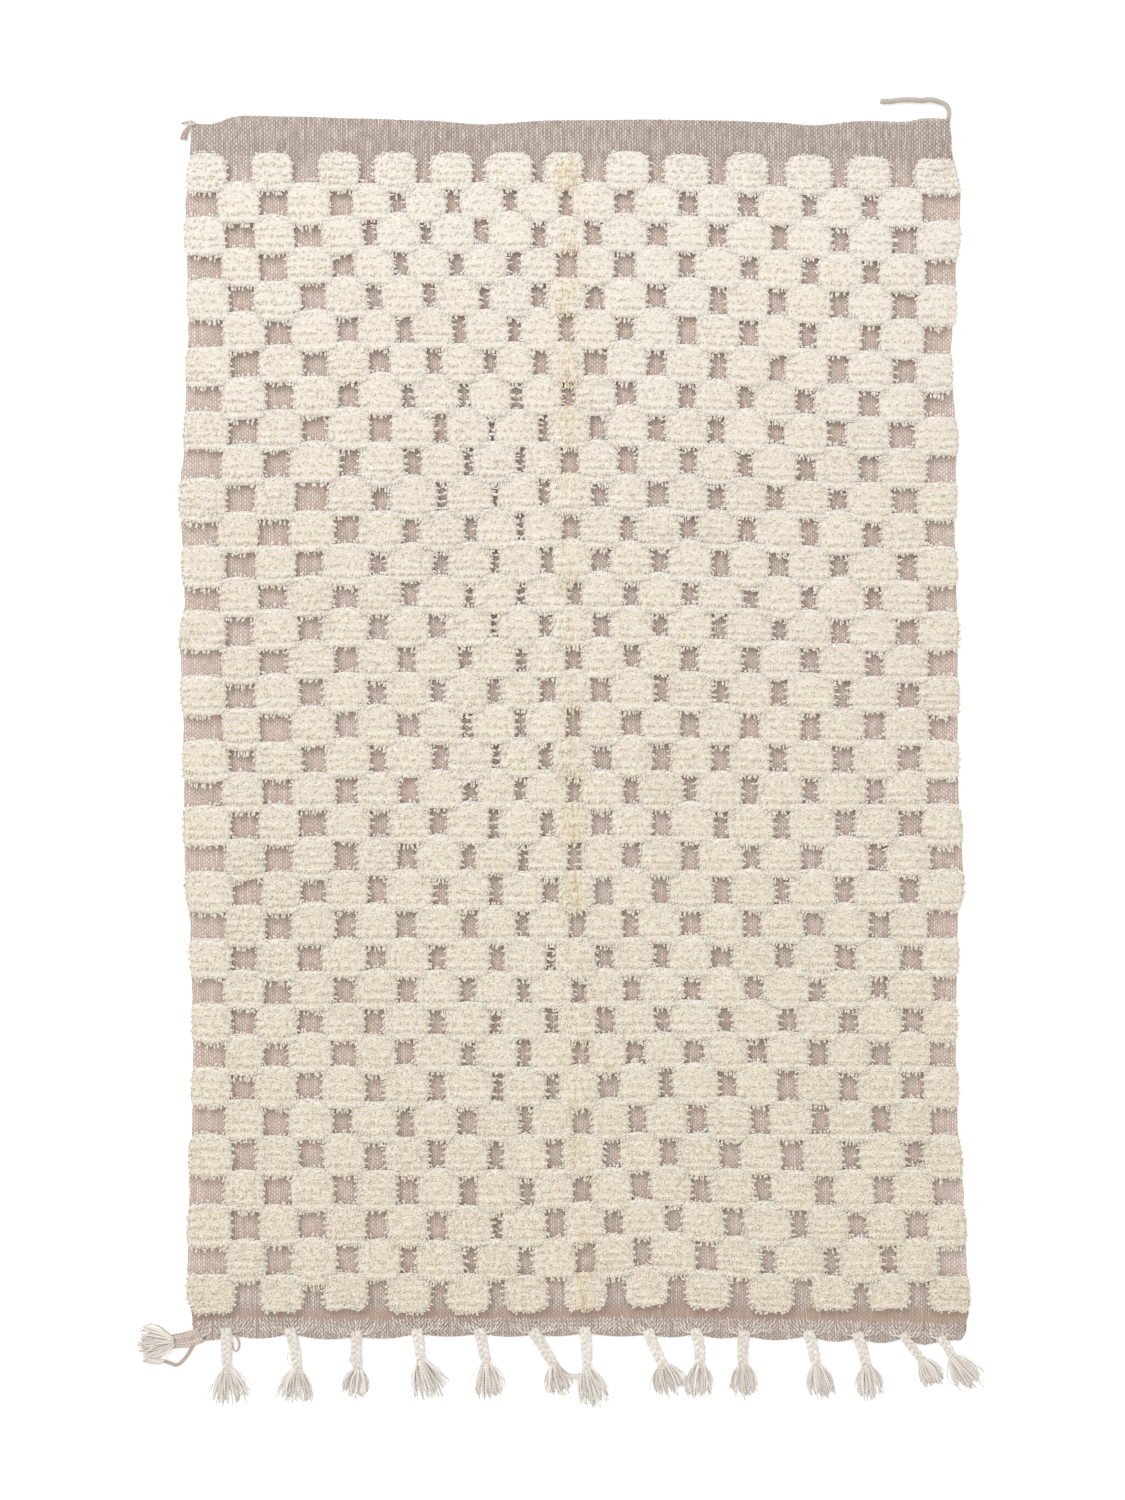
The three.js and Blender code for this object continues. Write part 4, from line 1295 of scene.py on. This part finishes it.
# %% [markdown]
# ## The warp ends on the hem
#
# The warp ends come up through the last of the cloth in three rows of short slanting stitches. Then they
# are gathered from both sides and run along the edge into the nearest braid, which is why the hem shows a
# pale band with mauve scallops below it.

# %% Slanting stitches
STITCH = {"pitch": 7.1, "girth": 1.3, "steps": 4, "sides": 5, "sink": 0.6, "rise": 1.0}
STITCH_ROWS = {"from": [34.0, 25.0, 15.0], "to": [26.0, 16.0, 5.0], "slant": [4.0, 6.0, 8.0]}
STITCH_ENDS = {"left": 12, "right": 22}


def alike(lines, girth):
    """A group of lines that are all as thick, for a bundle."""
    return lines, [np.full(len(lines[0]), girth)] * len(lines)


braid_roots = np.array(BRAIDS["root_x"], float)
stitch_lines = []
for row_from, row_to, slant in zip(*STITCH_ROWS.values()):
    row_start = left_edge(SEAM) + STITCH_ENDS["left"] + slant / 3
    for start_x in np.arange(row_start, right_edge(SEAM) - STITCH_ENDS["right"], STITCH["pitch"]):
        to_braid = braid_roots[np.argmin(np.abs(braid_roots - start_x))] - start_x
        towards = np.clip(to_braid, -slant, slant)
        base = root_line(start_x)
        high, low = random.normal(row_from, 1.8), random.normal(row_to, 1.6)
        points = [
            (start_x, base + high, CLOTH - STITCH["sink"]),
            (start_x + towards * 0.5, base + (high + low) / 2, CLOTH + STITCH["rise"]),
            (start_x + towards, base + low, CLOTH - STITCH["sink"]),
        ]
        stitch_lines.append(even_line(points, STITCH["steps"]))
group = alike(stitch_lines, STITCH["girth"])
stitches = bundle("hem_stitches", [group], STITCH["sides"], stitch_yarn, "warp_yarn", "end_fringe")
print("stitches", len(stitch_lines))

# %% Gathered ends
GATHER = {"pitch": 9.0, "first": 6, "reach": 38.0, "outer": 24, "girth": 1.4, "steps": 8, "sides": 5}

gather_lines = []
for number, root_x in enumerate(braid_roots):
    base = BRAIDS["root_y"][number]
    for side in (-1, 1):
        beside = number + side
        far = abs(braid_roots[beside] - root_x) / 2 if 0 <= beside < BRAID_COUNT else GATHER["outer"]
        far = min(far, GATHER["reach"])
        for start in np.arange(GATHER["first"], far, GATHER["pitch"]):
            start_x = root_x + side * (start + random.normal(0, 0.8))
            edge = root_line(start_x)
            nearness = start / far
            points = [
                (start_x, edge + 17, CLOTH - 0.4),
                (start_x - side * 4, edge + 11 - 5 * nearness, CLOTH + 1.2),
                (root_x + side * (5 + start * 0.35), edge + 6 - 3 * nearness, CLOTH + 1.6),
                (root_x + side * (4 + 3 * nearness), base + 1, CLOTH + 2.6),
                (root_x + side * 3, base - 9, CLOTH + 2.0),
            ]
            gather_lines.append(even_line(points, GATHER["steps"]))
group = alike(gather_lines, GATHER["girth"])
gathers = bundle("gathered_warp_ends", [group], GATHER["sides"], stitch_yarn, "warp_yarn", "end_fringe")
print("gathered ends", len(gather_lines))

# %% [markdown]
# ## Loose yarn on the hem
#
# At the left corner the last warp ends and some weft were left unbraided: mauve threads run out to the left
# and end in a pale bush, and a loop of weft hangs below them. One more loop hangs beside the first braid,
# and near the middle a bunch of the seventh tassel reaches over to the eighth. Each is a few lines of yarn
# along a short route, spread a little around it.

# %% Functions for unbraided yarn
BUSH = {"x": -878, "y": -12, "radius": 30, "count": 44, "girth": 1.2}
LOOSE_STEPS = 12
MAUVE_SIDES = 6
PALE_SIDES = 5


def strands_along(route, count, spread, girth, end_spread=None):
    """Lines around a route: spread sideways, a little uneven, resting on what lies below."""
    line = even_line(route, LOOSE_STEPS)
    left = left_of(np.gradient(line, axis=0))
    share = np.linspace(0, 1, LOOSE_STEPS)
    end_spread = spread if end_spread is None else end_spread
    lines = []
    for strand in range(count):
        place = (strand + 0.5) / count * 2 - 1
        width = (spread + (end_spread - spread) * share) * place
        wave = random.normal(0, 0.16 * spread + 0.5) * np.sin(share * random.uniform(4, 9) + strand)
        moved = line.copy()
        moved[:, :2] += left * (width + wave)[:, None]
        moved[:, 2] += random.uniform(0, 0.8) * (1 - abs(place))
        lines.append(moved)
    return lines, [girth * (1 - 0.35 * share**4)] * count


def bush_strands():
    """Short curls that spread to all sides from the end of the corner's yarn."""
    x, y, girth = BUSH["x"], BUSH["y"], BUSH["girth"]
    lines = []
    for _ in range(BUSH["count"]):
        turn = random.uniform(0, TURN)
        far = BUSH["radius"] * random.uniform(0.45, 1.0)
        bend = turn + random.normal(0, 0.6)
        middle = (x + 0.5 * far * np.cos(bend), y + 0.42 * far * np.sin(bend), random.uniform(4, 9))
        end = (x + far * np.cos(turn), y + 0.75 * far * np.sin(turn), girth + 0.2)
        start = (x + random.uniform(2, 16), y + random.normal(0, 4), random.uniform(3, 7))
        lines.append(even_line([start, middle, end], LOOSE_STEPS))
    share = np.linspace(0, 1, LOOSE_STEPS)
    return lines, [girth * (1 - 0.4 * share**3)] * BUSH["count"]


print("points in a loose strand", LOOSE_STEPS)

# %% Unbraided yarn, loops and the crossing bunch
CORNER_RUN = [(-770, 8, 6.5), (-790, 0, 6.0), (-815, -5, 4.0), (-842, -7, 4.0), (-868, -9, 4.5)]
HANGING_LOOP = [
    (-782, -4, 5),
    (-792, -24, 2),
    (-806, -44, 1.6),
    (-821, -56, 1.6),
    (-834, -52, 1.6),
    (-848, -47, 2),
]
LOOP_TAIL = [(-848, -47, 2.0), (-862, -49, 1.6), (-879, -46, 1.6), (-892, -40, 1.6)]
SIDE_LOOP = [(-699, 8, 6), (-692, -4, 4.5), (-691, -16, 2.6), (-696, -27, 2.6), (-703, -22, 4), (-704, -8, 7)]
CROSSING = [
    (-34, -54, 8),
    (-26, -66, 6),
    (-14, -75, 4),
    (0, -79, 3),
    (14, -78, 4),
    (26, -72, 7),
    (34, -64, 10),
]
KNOT_THREAD = [(-452, -30, 7), (-460, -42, 3), (-458, -50, 2), (-450, -47, 5)]
FRAY_THREAD = [(-585, -26, 4), (-592, -36, 1.2), (-590, -48, 1.0), (-584, -55, 1.0)]

mauve_groups = [
    strands_along(CORNER_RUN, 26, 15.0, 1.7, 13.0),
    strands_along(HANGING_LOOP, 4, 3.6, 1.6),
    strands_along(SIDE_LOOP, 2, 1.6, 1.7),
]
mauve_loose = bundle("corner_weft_yarn", mauve_groups, MAUVE_SIDES, mauve_yarn, "ground_yarn", "end_fringe")
pale_groups = [
    bush_strands(),
    strands_along(LOOP_TAIL, 6, 4.0, 1.0, 10),
    strands_along(CROSSING, 10, 7.0, 1.8, 5.0),
    strands_along(KNOT_THREAD, 2, 2.0, 1.5),
    strands_along(FRAY_THREAD, 1, 0.5, 0.9),
]
pale_loose = bundle("corner_warp_bush", pale_groups, PALE_SIDES, warp_yarn, "warp_yarn", "end_fringe")
print("loose yarn on the hem done")

# %% [markdown]
# ## The edges of the cloth
#
# Along each selvedge the weft turns round the outermost warps, which makes a thin round edge a little darker
# than the cloth. The plain end is cut close: the warp ends stand out as a row of tiny stubs, and at the
# right a loose pale thread is whipped over the edge.

# %% Selvedges
SELVEDGE = {"girth": 2.3, "steps": 200, "sides": 6, "inset": 1.4, "from": 4, "to": 2520}

along = np.linspace(SEAM + SELVEDGE["from"], SELVEDGE["to"], SELVEDGE["steps"])
waver = 0.5 * np.sin(along * 0.9) + 0.7 * np.sin(along * 0.17)
selvedge_z = np.full(SELVEDGE["steps"], SELVEDGE["girth"] + 0.1)
selvedge_lines = [
    np.column_stack([edge(along) + inward * (EDGE_INSET + SELVEDGE["inset"]) + waver, along, selvedge_z])
    for edge, inward in ((left_edge, 1), (right_edge, -1))
]
group = alike(selvedge_lines, SELVEDGE["girth"])
selvedges = bundle("selvedges", [group], SELVEDGE["sides"], mauve_yarn, "ground_yarn", "rug")
print("selvedges", len(selvedge_lines))

# %% Warp stubs and the whipped thread
STUBS = {"from": -788, "to": 786, "pitch": 5.0, "girth": 0.9, "sides": 4}
WHIP = {"from": 609, "to": 765, "pitch": 7.0, "girth": 0.9, "steps": 150, "sides": 5, "uneven": 0.7}
WHIP_TURN = {"outside": 1.2, "inside": -6.0, "low": 2.6, "over_cloth": 0.8}
SQUIGGLE = [(-160, 38, 5.6), (-154, 44, 6.4), (-148, 40, 6.0), (-143, 34, 6.6), (-137, 31, 5.4)]
SQUIGGLE_GIRTH = 1.0

stub_lines = []
for start_x in np.arange(STUBS["from"], STUBS["to"], STUBS["pitch"]):
    edge_y = head_edge(start_x)
    lean = random.normal(0, 1.2)
    out = random.uniform(0.3, 3.2)
    points = [
        (start_x, edge_y - 3, CLOTH - 0.2),
        (start_x + lean * 0.5, edge_y + out * 0.4, 3.0),
        (start_x + lean, edge_y + out, 1.8),
    ]
    stub_lines.append(np.array(points))
whip_x = np.arange(WHIP["from"], WHIP["to"], WHIP["pitch"] / 2)
outside = np.arange(len(whip_x)) % 2
whip_y = head_edge(whip_x) + np.where(outside, WHIP_TURN["outside"], WHIP_TURN["inside"])
whip_y = whip_y + random.normal(0, WHIP["uneven"], len(whip_x))
whip_z = np.where(outside, WHIP_TURN["low"], CLOTH + WHIP_TURN["over_cloth"])
whip_line = even_line(np.column_stack([whip_x, whip_y, whip_z]), WHIP["steps"])
group = alike(stub_lines, STUBS["girth"])
stubs = bundle("warp_stubs", [group], STUBS["sides"], plait_yarn, "warp_yarn", "rug")
thread_groups = [
    alike([whip_line], WHIP["girth"]),
    alike([even_line(SQUIGGLE, WHIP["steps"])], SQUIGGLE_GIRTH),
]
whip = bundle("whipped_thread", thread_groups, WHIP["sides"], warp_yarn, "warp_yarn", "rug")
print("stubs", len(stub_lines))

# %% [markdown]
# ## The knotted tuft at the left corner
#
# The plain end's left corner ends in a knot of mauve weft, with its frayed ends hanging down beside the
# selvedge and one short stiff end pointing out. Two turns of yarn make the knot.

# %% The corner's knot and its ends
KNOT = {"x": -789, "y": 2524, "z": 6.1, "radius": 5.0, "rise": 2.4, "girth": 2.1, "steps": 36, "sides": 8}
SPIKE = [(-786, 2525, 7), (-796, 2526, 5.5), (-806, 2525, 3.5), (-812, 2523, 2.2)]
TAIL_DOWN = [(-791, 2520, 6), (-799, 2510, 4.5), (-805, 2499, 3), (-807, 2489, 2)]

knot_share = np.linspace(0, 1, KNOT["steps"])
knot_turn = 2 * TURN * knot_share
knot_x = KNOT["x"] + KNOT["radius"] * np.cos(knot_turn) * (1 - 0.25 * knot_share)
knot_y = KNOT["y"] + 0.8 * KNOT["radius"] * np.sin(knot_turn)
knot_z = KNOT["z"] + KNOT["rise"] * np.cos(knot_turn * 0.5)
group = alike([np.column_stack([knot_x, knot_y, knot_z])], KNOT["girth"])
bundle("corner_knot", [group], KNOT["sides"], mauve_yarn, "ground_yarn", "corner_tuft")
end_groups = [strands_along(SPIKE, 6, 3.2, 1.1, 1.2), strands_along(TAIL_DOWN, 16, 3.5, 1.0, 8.5)]
bundle("corner_knot_ends", end_groups, PALE_SIDES, knot_yarn, "ground_yarn", "corner_tuft")
print("corner tuft done")

# %% [markdown]
#
# The cloth was woven flat, 1.61 by 2.53 metres, and lies as it was woven. All that is knotted, sewn or left
# on it goes with it.

# %% Nothing left selected
bpy.ops.object.select_all(action="DESELECT")
bpy.context.view_layer.update()
